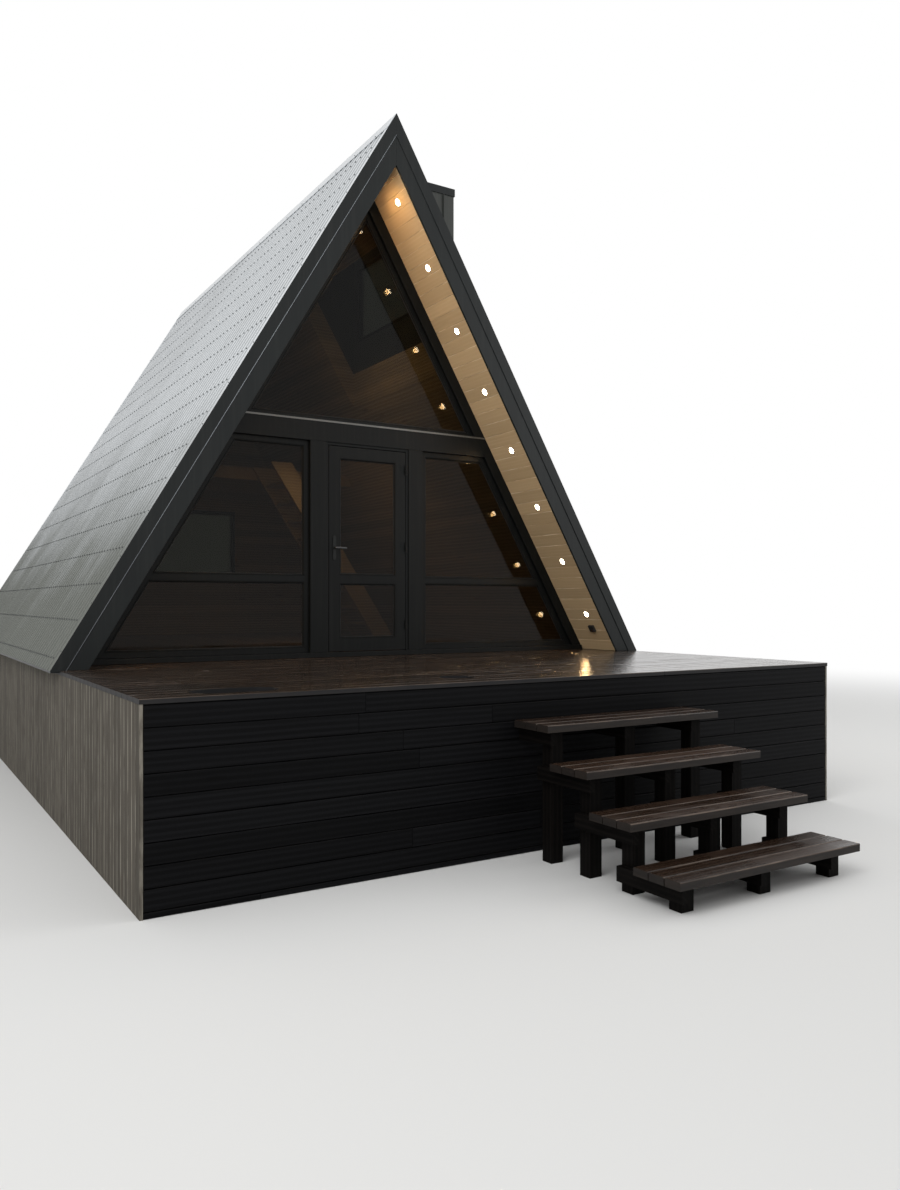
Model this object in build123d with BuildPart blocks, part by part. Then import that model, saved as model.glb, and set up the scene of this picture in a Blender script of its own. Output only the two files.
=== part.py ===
from build123d import *
import math
import os

# A-frame cabin on a raised timber platform, with a terrace and four open treads in front of its glazed gable.
# Millimetres. X runs along the front, Y into the depth, Z up. The origin is on the ground in the middle.

# Platform and terrace
platform_width = 6100
deck_height = 1250
deck_thickness = 30
terrace_depth = 2560
skirt_thickness = 25
beam_height = 180
beam_width = 60
beam_count = 7
post_size = 120
post_inset = 300
post_columns = 4
post_rows = 5

# Round and long holes in the terrace that trees grow through, measured from its left front corner
single_hole_radius = 130
single_hole_across = 2370
single_hole_back = 400
pair_hole_length = 560
pair_hole_width = 300
pair_hole_across = 640
pair_hole_back = 260

# Open steps
tread_count = 4
tread_width = 1640
tread_depth = 385
tread_thickness = 50
tread_going = 402
tread_rise = 250
tread_left = 2585
first_drop = 285
step_gap = 20
step_post_size = 100
step_post_inset = 150
step_post_setback = 90
bearer_width = 45
bearer_height = 95
bearer_setback = 40
tread_edge = 6

# Roof
roof_angle = 59.4
eave_reach = 70
roof_length = 7300
front_overhang = 600
back_overhang = 600
sheet_thickness = 30
rib_pitch = 115
rib_height = 9
trough_mouth = 66
trough_floor = 48
panel_thickness = 200
soffit_thickness = 20
fascia_thickness = 25
verge_thickness = 8
verge_cover = 100
edge_strip_width = 75
edge_strip_thickness = 3
ridge_cap_leg = 160
ridge_cap_thickness = 6
eave_trim_thickness = 15

# Glazed front wall
wall_depth = 120
sill_height = 50
sill_nose = 20
transom_bottom = 2150
transom_height = 210
gable_frame_width = 110
post_width = 170
doorway_width = 940
window_frame_width = 50
window_frame_depth = 60
window_setback = 40
upper_frame_width = 40
glass_thickness = 24
rail_bottom = 750
rail_height = 60

# Door
jamb_width = 28
jamb_depth = 100
stop_width = 16
door_gap = 6
door_setback = 10
leaf_thickness = 60
stile_width = 118
top_rail = 115
bottom_rail = 130
lock_rail_bottom = 741
lock_rail_height = 82
hinge_radius = 11
hinge_length = 100
hinge_stand = 12
hinge_plate_thickness = 3
hinge_plate_reach = 57
hinge_split = 0.6
hinge_heights = (322, 1127, 1933)

# Lever handle
handle_height = 1095
handle_from_edge = 57
lever_length = 130
lever_height = 20
lever_thickness = 12
lever_bend = 16
lever_stand = 50
neck_radius = 9
neck_clearance = 0.3
spindle_radius = 5
plate_width = 32
plate_height = 240
plate_thickness = 8

# Back wall
back_window_width = 1300
back_window_height = 1100
back_window_sill = 900
back_loft_window_width = 720
back_loft_window_height = 800
back_loft_window_sill = 2800

# Dormer on the right slope
dormer_start = 700
dormer_length = 2400
dormer_reach = 1090
dormer_drop = 216
dormer_roof_thickness = 80
dormer_roof_overhang = 10
dormer_wall = 80
dormer_opening_start = 260
dormer_window_margin = 130
dormer_window_drop = 220
dormer_window_height = 950
dormer_window_setback = 10

# Inside
floor_rise = 50
floor_clearance = 5
loft_bottom = 2200
loft_thickness = 160
loft_start = 3540
mitre_gap = 1
stair_width = 700
stair_foot = 1840
stair_top = 330
stringer_depth = 240
stringer_thickness = 40
stair_tread_count = 9
stair_tread_depth = 230
stair_tread_thickness = 35
stair_tread_clearance = 0.3

# Lights under the front eaves
light_count = 8
first_light = 480
light_spacing = 685
light_back = 243
light_radius = 42
light_flange = 4
light_bevel = 2
light_hole_radius = 32
socket_size = 80
socket_depth = 25
socket_up = 300

os.makedirs("parts", exist_ok=True)

# Places that follow from the sizes above
steps_reach = step_gap + tread_depth + (tread_count - 1) * tread_going
total_depth = steps_reach + terrace_depth + roof_length
front_y = -total_depth / 2 + steps_reach
rake_y = front_y + terrace_depth
back_y = rake_y + roof_length
glass_y = rake_y + front_overhang
wall_inner_y = glass_y + wall_depth
back_wall_y = back_y - back_overhang - wall_depth
roof_front_y = rake_y + verge_thickness
panel_front_y = roof_front_y + fascia_thickness
half_width = platform_width / 2
roof_half_base = half_width + eave_reach
beam_top = deck_height - deck_thickness

slope = math.radians(roof_angle)
side_per_depth = 1 / math.sin(slope)
panel_depth = sheet_thickness + panel_thickness
soffit_depth = panel_depth + soffit_thickness
frame_depth = panel_depth + gable_frame_width + soffit_thickness


def half_gable(height, depth=0):
    """Half width of the gable at a height above the deck and a depth under the roof's outer face."""
    return roof_half_base - depth * side_per_depth - height / math.tan(slope)


def gable_peak(depth=0):
    """Height above the deck where both slopes meet at a depth under the roof's outer face."""
    return (roof_half_base - depth * side_per_depth) * math.tan(slope)


def section(y):
    """Upright plane across the cabin, seen from the front, with its zero at the deck on the centre line."""
    return Plane(origin=(0, y, deck_height), x_dir=(1, 0, 0), z_dir=(0, -1, 0))


def save(shape, name):
    """Label one finished piece and write it to its own file."""
    shape.label = name
    export_step(shape, f"parts/{name}.step")


def block(x_range, y_range, z_range):
    """Plain timber between two corners."""
    with BuildPart() as piece:
        centre = [(low + high) / 2 for low, high in (x_range, y_range, z_range)]
        with Locations(tuple(centre)):
            Box(x_range[1] - x_range[0], y_range[1] - y_range[0], z_range[1] - z_range[0])
    return piece.part


def upright(outline, y, depth):
    """A piece of the gable: an outline seen from the front, carried back from y."""
    with BuildPart() as piece:
        with BuildSketch(section(y)):
            with BuildLine():
                Polyline(*outline, close=True)
            make_face()
        extrude(amount=-depth)
    return piece.part


def slope_layer(side, outer, inner, y, length, low=0, middle=0, holes=()):
    """One layer of a roof slope between two depths, from a height to its middle end, less the holes in it."""
    outline = [
        (side * half_gable(low, outer), low),
        (side * half_gable(low, inner), low),
        (side * middle, gable_peak(inner) - middle * math.tan(slope)),
        (side * middle, gable_peak(outer) - middle * math.tan(slope)),
    ]
    with BuildPart() as layer:
        add(upright(outline, y, length))
        for hole in holes:
            add(hole, mode=Mode.SUBTRACT)
    return layer.part


def troughs(side, length):
    """The troughs that leave ribs standing on a sheet of this length, with a flat edge at each end."""
    count = 1 + int((length - 2 * edge_strip_width - trough_mouth) / rib_pitch)
    across = Plane(
        origin=(side * half_gable(0), roof_front_y + length / 2, deck_height),
        x_dir=(0, 1, 0),
        z_dir=(-side * math.cos(slope), 0, math.sin(slope)),
    )
    profile = [
        (-trough_mouth / 2, 0),
        (-trough_floor / 2, side * rib_height),
        (trough_floor / 2, side * rib_height),
        (trough_mouth / 2, 0),
    ]
    with BuildPart() as pressed:
        with BuildSketch(across):
            with GridLocations(rib_pitch, 1, count, 1):
                Polygon(*profile, align=None)
        extrude(amount=platform_width, both=True)
    return pressed.part


def joined(*shapes):
    """Several shapes as one piece."""
    with BuildPart() as piece:
        for shape in shapes:
            add(shape)
    return piece.part


def slope_plane(side, depth, y):
    """Plane on a face of one slope, X up the slope and Z towards the room, with its zero at the deck."""
    return Plane(
        origin=(side * half_gable(0, depth), y, deck_height),
        x_dir=(-side * math.cos(slope), 0, math.sin(slope)),
        z_dir=(-side * math.sin(slope), 0, -math.cos(slope)),
    )


sides = {"left": -1, "right": 1}
mitre = mitre_gap / 2

# Terrace boards with the two holes for the trees
with BuildPart() as terrace_deck:
    with BuildSketch(Plane.XY.offset(beam_top)):
        with Locations((0, (front_y + glass_y) / 2)):
            Rectangle(platform_width, glass_y - front_y)
        with Locations((single_hole_across - half_width, front_y + single_hole_back)):
            Circle(single_hole_radius, mode=Mode.SUBTRACT)
        with Locations((pair_hole_across - half_width, front_y + pair_hole_back)):
            SlotOverall(pair_hole_length, pair_hole_width, mode=Mode.SUBTRACT)
    extrude(amount=deck_thickness)
save(terrace_deck.part, "terrace_deck")

# Cabin floor: the platform's boarding with the insulated floor inside the slopes raised on it
with BuildPart() as cabin_floor:
    with BuildSketch(Plane.XY.offset(beam_top)):
        with Locations((0, (glass_y + back_y) / 2)):
            Rectangle(platform_width, back_y - glass_y)
    extrude(amount=deck_thickness)
    with BuildSketch(Plane.XY.offset(deck_height)):
        with Locations((0, (wall_inner_y + back_wall_y) / 2)):
            raised_half = half_gable(floor_rise, soffit_depth) - floor_clearance
            Rectangle(2 * raised_half, back_wall_y - wall_inner_y)
    extrude(amount=floor_rise)
save(cabin_floor.part, "cabin_floor")

# Boarded skirts that close the platform down to the ground
skirt_inner = half_width - skirt_thickness
side_skirt_y = (front_y + skirt_thickness, back_y - skirt_thickness)
save(joined(
    block((-half_width, half_width), (front_y, front_y + skirt_thickness), (0, beam_top)),
    block((-half_width, half_width), (back_y - skirt_thickness, back_y), (0, beam_top)),
), "end_skirts")
save(joined(
    block((-half_width, -skirt_inner), side_skirt_y, (0, beam_top)),
    block((skirt_inner, half_width), side_skirt_y, (0, beam_top)),
), "side_skirts")

# Beams under the boards, clear of the tree holes, and the posts that carry them
beam_bottom = beam_top - beam_height
beam_start = front_y + pair_hole_back + pair_hole_width / 2 + single_hole_radius
beam_end = back_y - skirt_thickness
with BuildPart() as platform_beams:
    beam_span = platform_width - 2 * skirt_thickness - beam_width
    with Locations((0, (beam_start + beam_end) / 2, beam_bottom + beam_height / 2)):
        with GridLocations(beam_span / (beam_count - 1), 1, beam_count, 1):
            Box(beam_width, beam_end - beam_start, beam_height)
save(platform_beams.part, "platform_beams")

with BuildPart() as platform_posts:
    post_run = beam_end - beam_start - 2 * post_inset
    column_spacing = 2 * beam_span / (beam_count - 1)
    with Locations((0, (beam_start + beam_end) / 2, beam_bottom / 2)):
        with GridLocations(column_spacing, post_run / (post_rows - 1), post_columns, post_rows):
            Box(beam_width, post_size, beam_bottom)
save(platform_posts.part, "platform_posts")

# Open steps: four treads, each on its own row of three posts
tread_middle = tread_left + tread_width / 2 - half_width
tread_tops = [deck_height - first_drop - number * tread_rise for number in range(tread_count)]
tread_fronts = [front_y - step_gap - tread_depth - number * tread_going for number in range(tread_count)]

with BuildPart() as step_treads:
    for top, front in zip(tread_tops, tread_fronts):
        with BuildSketch(Plane.YZ.offset(tread_middle - tread_width / 2)):
            with BuildLine():
                Polyline(
                    (front, top - tread_thickness),
                    (front + tread_depth, top - tread_thickness),
                    (front + tread_depth, top - tread_edge),
                    (front + tread_depth - tread_edge, top),
                    (front + tread_edge, top),
                    (front, top - tread_edge),
                    close=True,
                )
            make_face()
        extrude(amount=tread_width)
save(step_treads.part, "step_treads")

with BuildPart() as step_posts:
    post_spacing = (tread_width - 2 * step_post_inset) / 2
    for top, front in zip(tread_tops, tread_fronts):
        post_height = top - tread_thickness
        with Locations((tread_middle, front + step_post_setback + step_post_size / 2, post_height / 2)):
            with GridLocations(post_spacing, 1, 3, 1):
                Box(step_post_size, step_post_size, post_height)
save(step_posts.part, "step_posts")

# Bearers beside the posts, each running back under a tread to the post of the step above or to the platform
with BuildPart() as step_bearers:
    for number, (top, front) in enumerate(zip(tread_tops, tread_fronts)):
        bearer_start = front + bearer_setback
        bearer_end = tread_fronts[number - 1] + step_post_setback + step_post_size if number else front_y
        bearer_x = tread_middle - (step_post_size + bearer_width) / 2
        bearer_z = top - tread_thickness - bearer_height / 2
        with Locations((bearer_x, (bearer_start + bearer_end) / 2, bearer_z)):
            with GridLocations(post_spacing, 1, 3, 1):
                Box(bearer_width, bearer_end - bearer_start, bearer_height)
save(step_bearers.part, "step_bearers")

# Roof slopes, each a thick insulated panel under a ribbed metal sheet, lined with boards inside and under the
# eaves. A flat strip folded over from the verge lies on each end of the sheet, up to the ridge cap.
panel_length = roof_length - 2 * (verge_thickness + fascia_thickness)
sheet_length = roof_length - 2 * verge_thickness
lining_length = back_wall_y - wall_inner_y
back_soffit_y = back_wall_y + wall_depth
dormer_y = rake_y + dormer_start
dormer_inner_y = dormer_y + dormer_wall
dormer_inner_length = dormer_length - 2 * dormer_wall
dormer_inside = dormer_reach - dormer_wall
dormer_top = gable_peak() - dormer_drop
dormer_wall_top = dormer_top - dormer_roof_thickness
dormer_back = half_gable(dormer_wall_top)
back_plate_y = back_y - verge_thickness
cap_foot = gable_peak() - ridge_cap_leg * math.sin(slope)
strip_end = half_gable(cap_foot, -ridge_cap_thickness) + mitre_gap

# The dormer's hole through the right slope, open upwards
dormer_hole = [
    (dormer_opening_start, 0),
    (dormer_inside, 0),
    (dormer_inside, dormer_top + dormer_roof_thickness),
    (dormer_opening_start, dormer_top + dormer_roof_thickness),
]
dormer_void = upright(dormer_hole, dormer_inner_y, dormer_inner_length)
dormer_sheet_gap = [
    (dormer_back, 0),
    (dormer_reach, 0),
    (dormer_reach, dormer_top + dormer_roof_thickness),
    (dormer_back, dormer_top + dormer_roof_thickness),
]
dormer_footprint = upright(dormer_sheet_gap, dormer_y, dormer_length)

linings = []
for name, side in sides.items():
    panel_holes = [dormer_void] if side > 0 else []
    sheet_holes = [troughs(side, sheet_length)] + ([dormer_footprint] if side > 0 else [])
    panel = slope_layer(side, sheet_thickness, panel_depth, panel_front_y, panel_length, holes=panel_holes)
    sheet = slope_layer(side, 0, sheet_thickness, roof_front_y, sheet_length, holes=sheet_holes)
    edge_strips = [
        slope_layer(side, -edge_strip_thickness, 0, y, edge_strip_width, middle=strip_end)
        for y in (roof_front_y, back_plate_y - edge_strip_width)
    ]
    save(panel, f"roof_panel_{name}")
    save(joined(sheet, *edge_strips), f"roof_sheet_{name}")
    linings.append(slope_layer(
        side, panel_depth, soffit_depth, wall_inner_y, lining_length, middle=mitre, holes=panel_holes
    ))
save(joined(*linings), "roof_linings")

# Boarded soffits under the front and back eaves, the front ones drilled for the lights
light_run = light_spacing * (light_count - 1)
back_soffit_length = back_plate_y - fascia_thickness - back_soffit_y
for name, side in sides.items():
    with BuildPart() as soffit:
        add(slope_layer(side, panel_depth, soffit_depth, panel_front_y, glass_y - panel_front_y))
        add(slope_layer(side, panel_depth, soffit_depth, back_soffit_y, back_soffit_length))
        with BuildSketch(slope_plane(side, soffit_depth, rake_y + light_back)):
            with Locations((first_light + light_run / 2, 0)):
                with GridLocations(light_spacing, 1, light_count, 1):
                    Circle(light_hole_radius)
        extrude(amount=-soffit_thickness, mode=Mode.SUBTRACT)
    save(soffit.part, f"soffit_{name}")

# Each light is a turned disc with a bevelled rim, seated over its hole
with BuildPart() as soffit_lights:
    for side in sides.values():
        face = slope_plane(side, soffit_depth, rake_y + light_back)
        for number in range(light_count):
            centre = face.from_local_coords((first_light + number * light_spacing, 0, 0))
            with BuildSketch(Plane(origin=centre, x_dir=face.x_dir, z_dir=(0, 1, 0))):
                with BuildLine():
                    Polyline(
                        (0, 0),
                        (light_radius, 0),
                        (light_radius, -side * (light_flange - light_bevel)),
                        (light_radius - light_bevel, -side * light_flange),
                        (0, -side * light_flange),
                        close=True,
                    )
                make_face()
            revolve(axis=Axis(centre, face.z_dir))
save(soffit_lights.part, "soffit_lights")

with BuildPart() as soffit_socket:
    with BuildSketch(slope_plane(1, soffit_depth, rake_y + light_back)):
        with Locations((socket_up, 0)):
            Rectangle(socket_size, socket_size)
    extrude(amount=socket_depth)
    chamfer(soffit_socket.faces().sort_by(Axis.X)[0].edges(), socket_depth / 5)
save(soffit_socket.part, "soffit_socket")

# Fascia boards on the ends of the slopes, and the metal verge plates in front of them and of the sheets
back_fascia_y = back_plate_y - fascia_thickness
fascia_boards = []
verges = []
for side in sides.values():
    for y in (roof_front_y, back_fascia_y):
        board = slope_layer(side, sheet_thickness, soffit_depth, y, fascia_thickness, middle=mitre)
        fascia_boards.append(board)
    for y in (rake_y, back_plate_y):
        verges.append(slope_layer(side, -edge_strip_thickness, verge_cover, y, verge_thickness, middle=mitre))
save(joined(*fascia_boards), "fascia_boards")
save(joined(*verges), "verges")

# Ridge cap folded over the ribs from rake to rake, and the trims that close the feet of the slopes beside the
# platform
cap_outline = [
    (half_gable(cap_foot), cap_foot),
    (half_gable(cap_foot, -ridge_cap_thickness), cap_foot),
    (0, gable_peak(-ridge_cap_thickness)),
    (0, gable_peak()),
]
with BuildPart() as ridge_cap:
    add(upright(cap_outline, roof_front_y, sheet_length))
    mirror(about=Plane.YZ)
save(ridge_cap.part, "ridge_cap")

with BuildPart() as eave_trim:
    with Locations((0, (rake_y + back_y) / 2, deck_height - eave_trim_thickness / 2)):
        with GridLocations(platform_width + eave_reach, 1, 2, 1):
            Box(eave_reach, roof_length, eave_trim_thickness)
save(eave_trim.part, "eave_trim")

# Glazed front wall: sill, sloping frames, transom and the two posts beside the door
half_door = doorway_width / 2
post_outer = half_door + post_width
transom_top = transom_bottom + transom_height
sill_outline = [
    (-half_gable(0, panel_depth), 0),
    (half_gable(0, panel_depth), 0),
    (half_gable(sill_height, panel_depth), sill_height),
    (-half_gable(sill_height, panel_depth), sill_height),
]
nose_half = half_gable(sill_height, soffit_depth)
save(joined(
    upright(sill_outline, glass_y, wall_depth),
    block((-nose_half, nose_half), (glass_y - sill_nose, glass_y), (deck_height, deck_height + sill_height)),
), "front_sill")

save(joined(
    slope_layer(-1, panel_depth, frame_depth, glass_y, wall_depth, low=sill_height, middle=mitre),
    slope_layer(1, panel_depth, frame_depth, glass_y, wall_depth, low=sill_height, middle=mitre),
), "gable_frames")

transom_outline = [
    (-half_gable(transom_bottom, frame_depth), transom_bottom),
    (half_gable(transom_bottom, frame_depth), transom_bottom),
    (half_gable(transom_top, frame_depth), transom_top),
    (-half_gable(transom_top, frame_depth), transom_top),
]
save(upright(transom_outline, glass_y, wall_depth), "transom_beam")

with BuildPart() as front_posts:
    post_height = transom_bottom - sill_height
    with Locations((0, glass_y + wall_depth / 2, deck_height + sill_height + post_height / 2)):
        with GridLocations(doorway_width + post_width, 1, 2, 1):
            Box(post_width, wall_depth, post_height)
save(front_posts.part, "front_posts")


def window_frame(outline, y, width, rails=()):
    """A frame just inside an outline of the gable, with level rails across it at the heights given."""
    with BuildPart() as frame:
        with BuildSketch(section(y)):
            with BuildLine():
                Polyline(*outline, close=True)
            make_face()
            offset(amount=-width, kind=Kind.INTERSECTION, mode=Mode.SUBTRACT)
        extrude(amount=-window_frame_depth)
        for low, high in rails:
            with BuildSketch(section(y)):
                with BuildLine():
                    Polyline(*outline, close=True)
                make_face()
                with Locations((0, (low + high) / 2)):
                    Rectangle(platform_width, high - low, mode=Mode.INTERSECT)
            extrude(amount=-window_frame_depth)
    return frame.part


def window_glass(outline, y, width, rails=()):
    """The panes that fill such a frame."""
    with BuildPart() as panes:
        with BuildSketch(section(y + (window_frame_depth - glass_thickness) / 2)):
            with BuildLine():
                Polyline(*outline, close=True)
            make_face()
            offset(amount=-width, kind=Kind.INTERSECTION, mode=Mode.REPLACE)
            for low, high in rails:
                with Locations((0, (low + high) / 2)):
                    Rectangle(platform_width, high - low, mode=Mode.SUBTRACT)
        extrude(amount=-glass_thickness)
    return panes.part


window_y = glass_y + window_setback
rail = (rail_bottom, rail_bottom + rail_height)
front_frames = []
front_panes = []
for side in sides.values():
    outline = [
        (side * post_outer, sill_height),
        (side * half_gable(sill_height, frame_depth), sill_height),
        (side * half_gable(transom_bottom, frame_depth), transom_bottom),
        (side * post_outer, transom_bottom),
    ]
    front_frames.append(window_frame(outline, window_y, window_frame_width, [rail]))
    front_panes.append(window_glass(outline, window_y, window_frame_width, [rail]))

upper_outline = [
    (-half_gable(transom_top, frame_depth), transom_top),
    (half_gable(transom_top, frame_depth), transom_top),
    (0, gable_peak(frame_depth)),
]
front_frames.append(window_frame(upper_outline, window_y, upper_frame_width))
front_panes.append(window_glass(upper_outline, window_y, upper_frame_width))
save(joined(*front_frames), "front_window_frames")
save(joined(*front_panes), "front_window_glass")

# Door frame: two jambs and a head, each with a stop behind the leaf
jamb_y = glass_y + door_setback
stop_y = jamb_y + leaf_thickness + door_gap
stop_reach = jamb_y + jamb_depth - stop_y
with BuildPart() as door_jambs:
    with BuildSketch(Plane.XY.offset(deck_height + sill_height)):
        for side in sides.values():
            with Locations((side * (half_door - jamb_width / 2), jamb_y + jamb_depth / 2)):
                Rectangle(jamb_width, jamb_depth)
            with Locations((side * (half_door - jamb_width - stop_width / 2), stop_y + stop_reach / 2)):
                Rectangle(stop_width, stop_reach)
    extrude(amount=transom_bottom - sill_height)
save(door_jambs.part, "door_jambs")

head_bottom = transom_bottom - jamb_width
stop_inner = half_door - jamb_width - stop_width
with BuildPart() as door_head:
    with BuildSketch(section(jamb_y)):
        with Locations((0, head_bottom + jamb_width / 2)):
            Rectangle(doorway_width - 2 * jamb_width, jamb_width)
    extrude(amount=-(stop_y - jamb_y))
    with BuildSketch(section(stop_y)):
        with Locations((0, (head_bottom - stop_width + transom_bottom) / 2)):
            Rectangle(2 * stop_inner, jamb_width + stop_width)
    extrude(amount=-stop_reach)
save(door_head.part, "door_head")

# Door leaf with an upper and a lower pane
leaf_half = half_door - jamb_width - door_gap
leaf_low = sill_height + door_gap
leaf_high = head_bottom - door_gap
leaf_inner = leaf_half - stile_width
panes = (
    (leaf_low + bottom_rail, lock_rail_bottom),
    (lock_rail_bottom + lock_rail_height, leaf_high - top_rail),
)
handle_x = -leaf_half + handle_from_edge
spindle_hole = spindle_radius + neck_clearance
with BuildPart() as door_leaf:
    with BuildSketch(section(jamb_y)):
        with Locations((0, (leaf_low + leaf_high) / 2)):
            Rectangle(2 * leaf_half, leaf_high - leaf_low)
        for low, high in panes:
            with Locations((0, (low + high) / 2)):
                Rectangle(2 * leaf_inner, high - low, mode=Mode.SUBTRACT)
        with Locations((handle_x, handle_height)):
            Circle(spindle_hole, mode=Mode.SUBTRACT)
    extrude(amount=-leaf_thickness)
save(door_leaf.part, "door_leaf")

with BuildPart() as door_glass:
    with BuildSketch(section(jamb_y + (leaf_thickness - glass_thickness) / 2)):
        for low, high in panes:
            with Locations((0, (low + high) / 2)):
                Rectangle(2 * leaf_inner, high - low)
    extrude(amount=-glass_thickness)
save(door_glass.part, "door_glass")

# Three butt hinges on the outside of the right edge: the lower half on the jamb, the upper half on the leaf
hinge_x = half_door - jamb_width - door_gap / 2
hinge_y = jamb_y - hinge_stand
barrel_half = (hinge_length - hinge_split) / 2


def hinge_halves(direction, barrel_low, plate_end):
    """The barrel halves and plates of all hinges on one side of the joint."""
    with BuildPart() as halves:
        for height in hinge_heights:
            low = deck_height + height + barrel_low
            with BuildSketch(Plane.XY.offset(low)):
                with Locations((hinge_x, hinge_y)):
                    Circle(hinge_radius)
                with Locations(((hinge_x + plate_end) / 2, jamb_y - hinge_plate_thickness / 2)):
                    Rectangle(abs(plate_end - hinge_x), hinge_plate_thickness)
                with Locations((hinge_x + direction * hinge_radius / 2, (hinge_y + jamb_y) / 2)):
                    Rectangle(hinge_radius, jamb_y - hinge_y)
            extrude(amount=barrel_half)
    return halves.part


save(hinge_halves(1, -hinge_length / 2, half_door), "door_hinges_fixed")
save(hinge_halves(-1, hinge_split / 2, hinge_x - hinge_plate_reach), "door_hinges_moving")

# Handle plates on both faces of the leaf, and one lever handle through them
leaf_back_y = jamb_y + leaf_thickness
with BuildPart() as handle_plates:
    for y, direction in ((jamb_y, -1), (leaf_back_y, 1)):
        with BuildSketch(section(y)):
            with Locations((handle_x, handle_height)):
                SlotOverall(plate_height, plate_width, rotation=90)
                Circle(neck_radius + neck_clearance, mode=Mode.SUBTRACT)
        extrude(amount=-direction * plate_thickness)
save(handle_plates.part, "handle_plates")

with BuildPart() as door_handle:
    with BuildSketch(section(jamb_y)):
        with Locations((handle_x, handle_height)):
            Circle(spindle_radius)
    extrude(amount=-leaf_thickness)
    for y, direction in ((jamb_y, -1), (leaf_back_y, 1)):
        with BuildSketch(section(y)):
            with Locations((handle_x, handle_height)):
                Circle(neck_radius)
        extrude(amount=-direction * (lever_stand - lever_bend))
        grip_y = y + direction * (lever_stand - lever_thickness / 2)
        with BuildLine() as grip:
            FilletPolyline(
                (handle_x, y + direction * (lever_stand - 2 * lever_bend)),
                (handle_x, grip_y),
                (handle_x + lever_length - lever_height / 2, grip_y),
                radius=lever_bend,
            )
        with BuildSketch(Plane.XY.offset(deck_height + handle_height - lever_height / 2)):
            trace(grip.line, line_width=lever_thickness)
        extrude(amount=lever_height)
save(door_handle.part, "door_handle")

# Back wall under the rear gable, with a window in the room and one in the loft
back_windows = (
    (back_window_width, back_window_sill, back_window_height),
    (back_loft_window_width, back_loft_window_sill, back_loft_window_height),
)
back_outline = [
    (-half_gable(0, panel_depth), 0),
    (half_gable(0, panel_depth), 0),
    (0, gable_peak(panel_depth)),
]
with BuildPart() as back_wall:
    add(upright(back_outline, back_wall_y, wall_depth))
    with BuildSketch(section(back_wall_y)):
        for width, sill, height in back_windows:
            with Locations((0, sill + height / 2)):
                Rectangle(width, height)
    extrude(amount=-wall_depth, mode=Mode.SUBTRACT)
save(back_wall.part, "back_wall")

back_frames = []
back_panes = []
back_window_y = back_wall_y + wall_depth - window_setback - window_frame_depth
for width, sill, height in back_windows:
    outline = [(-width / 2, sill), (width / 2, sill), (width / 2, sill + height), (-width / 2, sill + height)]
    back_frames.append(window_frame(outline, back_window_y, window_frame_width))
    back_panes.append(window_glass(outline, back_window_y, window_frame_width))
save(joined(*back_frames), "back_window_frames")
save(joined(*back_panes), "back_window_glass")

# Dormer: two cheeks and a wall with a window, standing on the right slope under a flat roof


def slope_height(x):
    """Height above the deck of the panel's outer face at a distance from the middle."""
    return gable_peak(sheet_thickness) - x * math.tan(slope)


cheek_outline = [
    (dormer_back, dormer_wall_top),
    (dormer_reach, dormer_wall_top),
    (dormer_reach, slope_height(dormer_reach)),
    (dormer_back, slope_height(dormer_back)),
]
dormer_front = [
    (dormer_inside, slope_height(dormer_inside)),
    (dormer_reach, slope_height(dormer_reach)),
    (dormer_reach, dormer_wall_top),
    (dormer_inside, dormer_wall_top),
]
dormer_window_y = dormer_y + dormer_length / 2
dormer_window_width = dormer_inner_length - 2 * dormer_window_margin
dormer_window_z = deck_height + dormer_top - dormer_window_drop - dormer_window_height / 2
with BuildPart() as dormer_walls:
    add(upright(cheek_outline, dormer_y, dormer_wall))
    add(upright(cheek_outline, dormer_y + dormer_length - dormer_wall, dormer_wall))
    add(upright(dormer_front, dormer_inner_y, dormer_inner_length))
    with BuildSketch(Plane.YZ.offset(dormer_inside)):
        with Locations((dormer_window_y, dormer_window_z)):
            Rectangle(dormer_window_width, dormer_window_height)
    extrude(amount=dormer_wall, mode=Mode.SUBTRACT)
save(dormer_walls.part, "dormer_walls")

dormer_roof_outline = [
    (dormer_back, dormer_wall_top),
    (dormer_reach + dormer_roof_overhang, dormer_wall_top),
    (dormer_reach + dormer_roof_overhang, dormer_top),
    (half_gable(dormer_top), dormer_top),
]
save(upright(
    dormer_roof_outline,
    dormer_y - dormer_roof_overhang,
    dormer_length + 2 * dormer_roof_overhang,
), "dormer_roof")

frame_x = dormer_reach - dormer_window_setback - window_frame_depth
with BuildPart() as dormer_window_frame:
    with BuildSketch(Plane.YZ.offset(frame_x)):
        with Locations((dormer_window_y, dormer_window_z)):
            Rectangle(dormer_window_width, dormer_window_height)
            Rectangle(
                dormer_window_width - 2 * window_frame_width,
                dormer_window_height - 2 * window_frame_width,
                mode=Mode.SUBTRACT,
            )
    extrude(amount=window_frame_depth)
save(dormer_window_frame.part, "dormer_window_frame")

with BuildPart() as dormer_window_glass:
    with Locations((frame_x + window_frame_depth / 2, dormer_window_y, dormer_window_z)):
        Box(
            glass_thickness,
            dormer_window_width - 2 * window_frame_width,
            dormer_window_height - 2 * window_frame_width,
        )
save(dormer_window_glass.part, "dormer_window_glass")

# Loft over the back of the room, and the steep stair that rises to it along its edge
loft_top = loft_bottom + loft_thickness
loft_y = glass_y + loft_start
loft_outline = [
    (-half_gable(loft_bottom, soffit_depth), loft_bottom),
    (half_gable(loft_bottom, soffit_depth), loft_bottom),
    (half_gable(loft_top, soffit_depth), loft_top),
    (-half_gable(loft_top, soffit_depth), loft_top),
]
save(upright(loft_outline, loft_y, back_wall_y - loft_y), "loft_floor")

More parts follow.
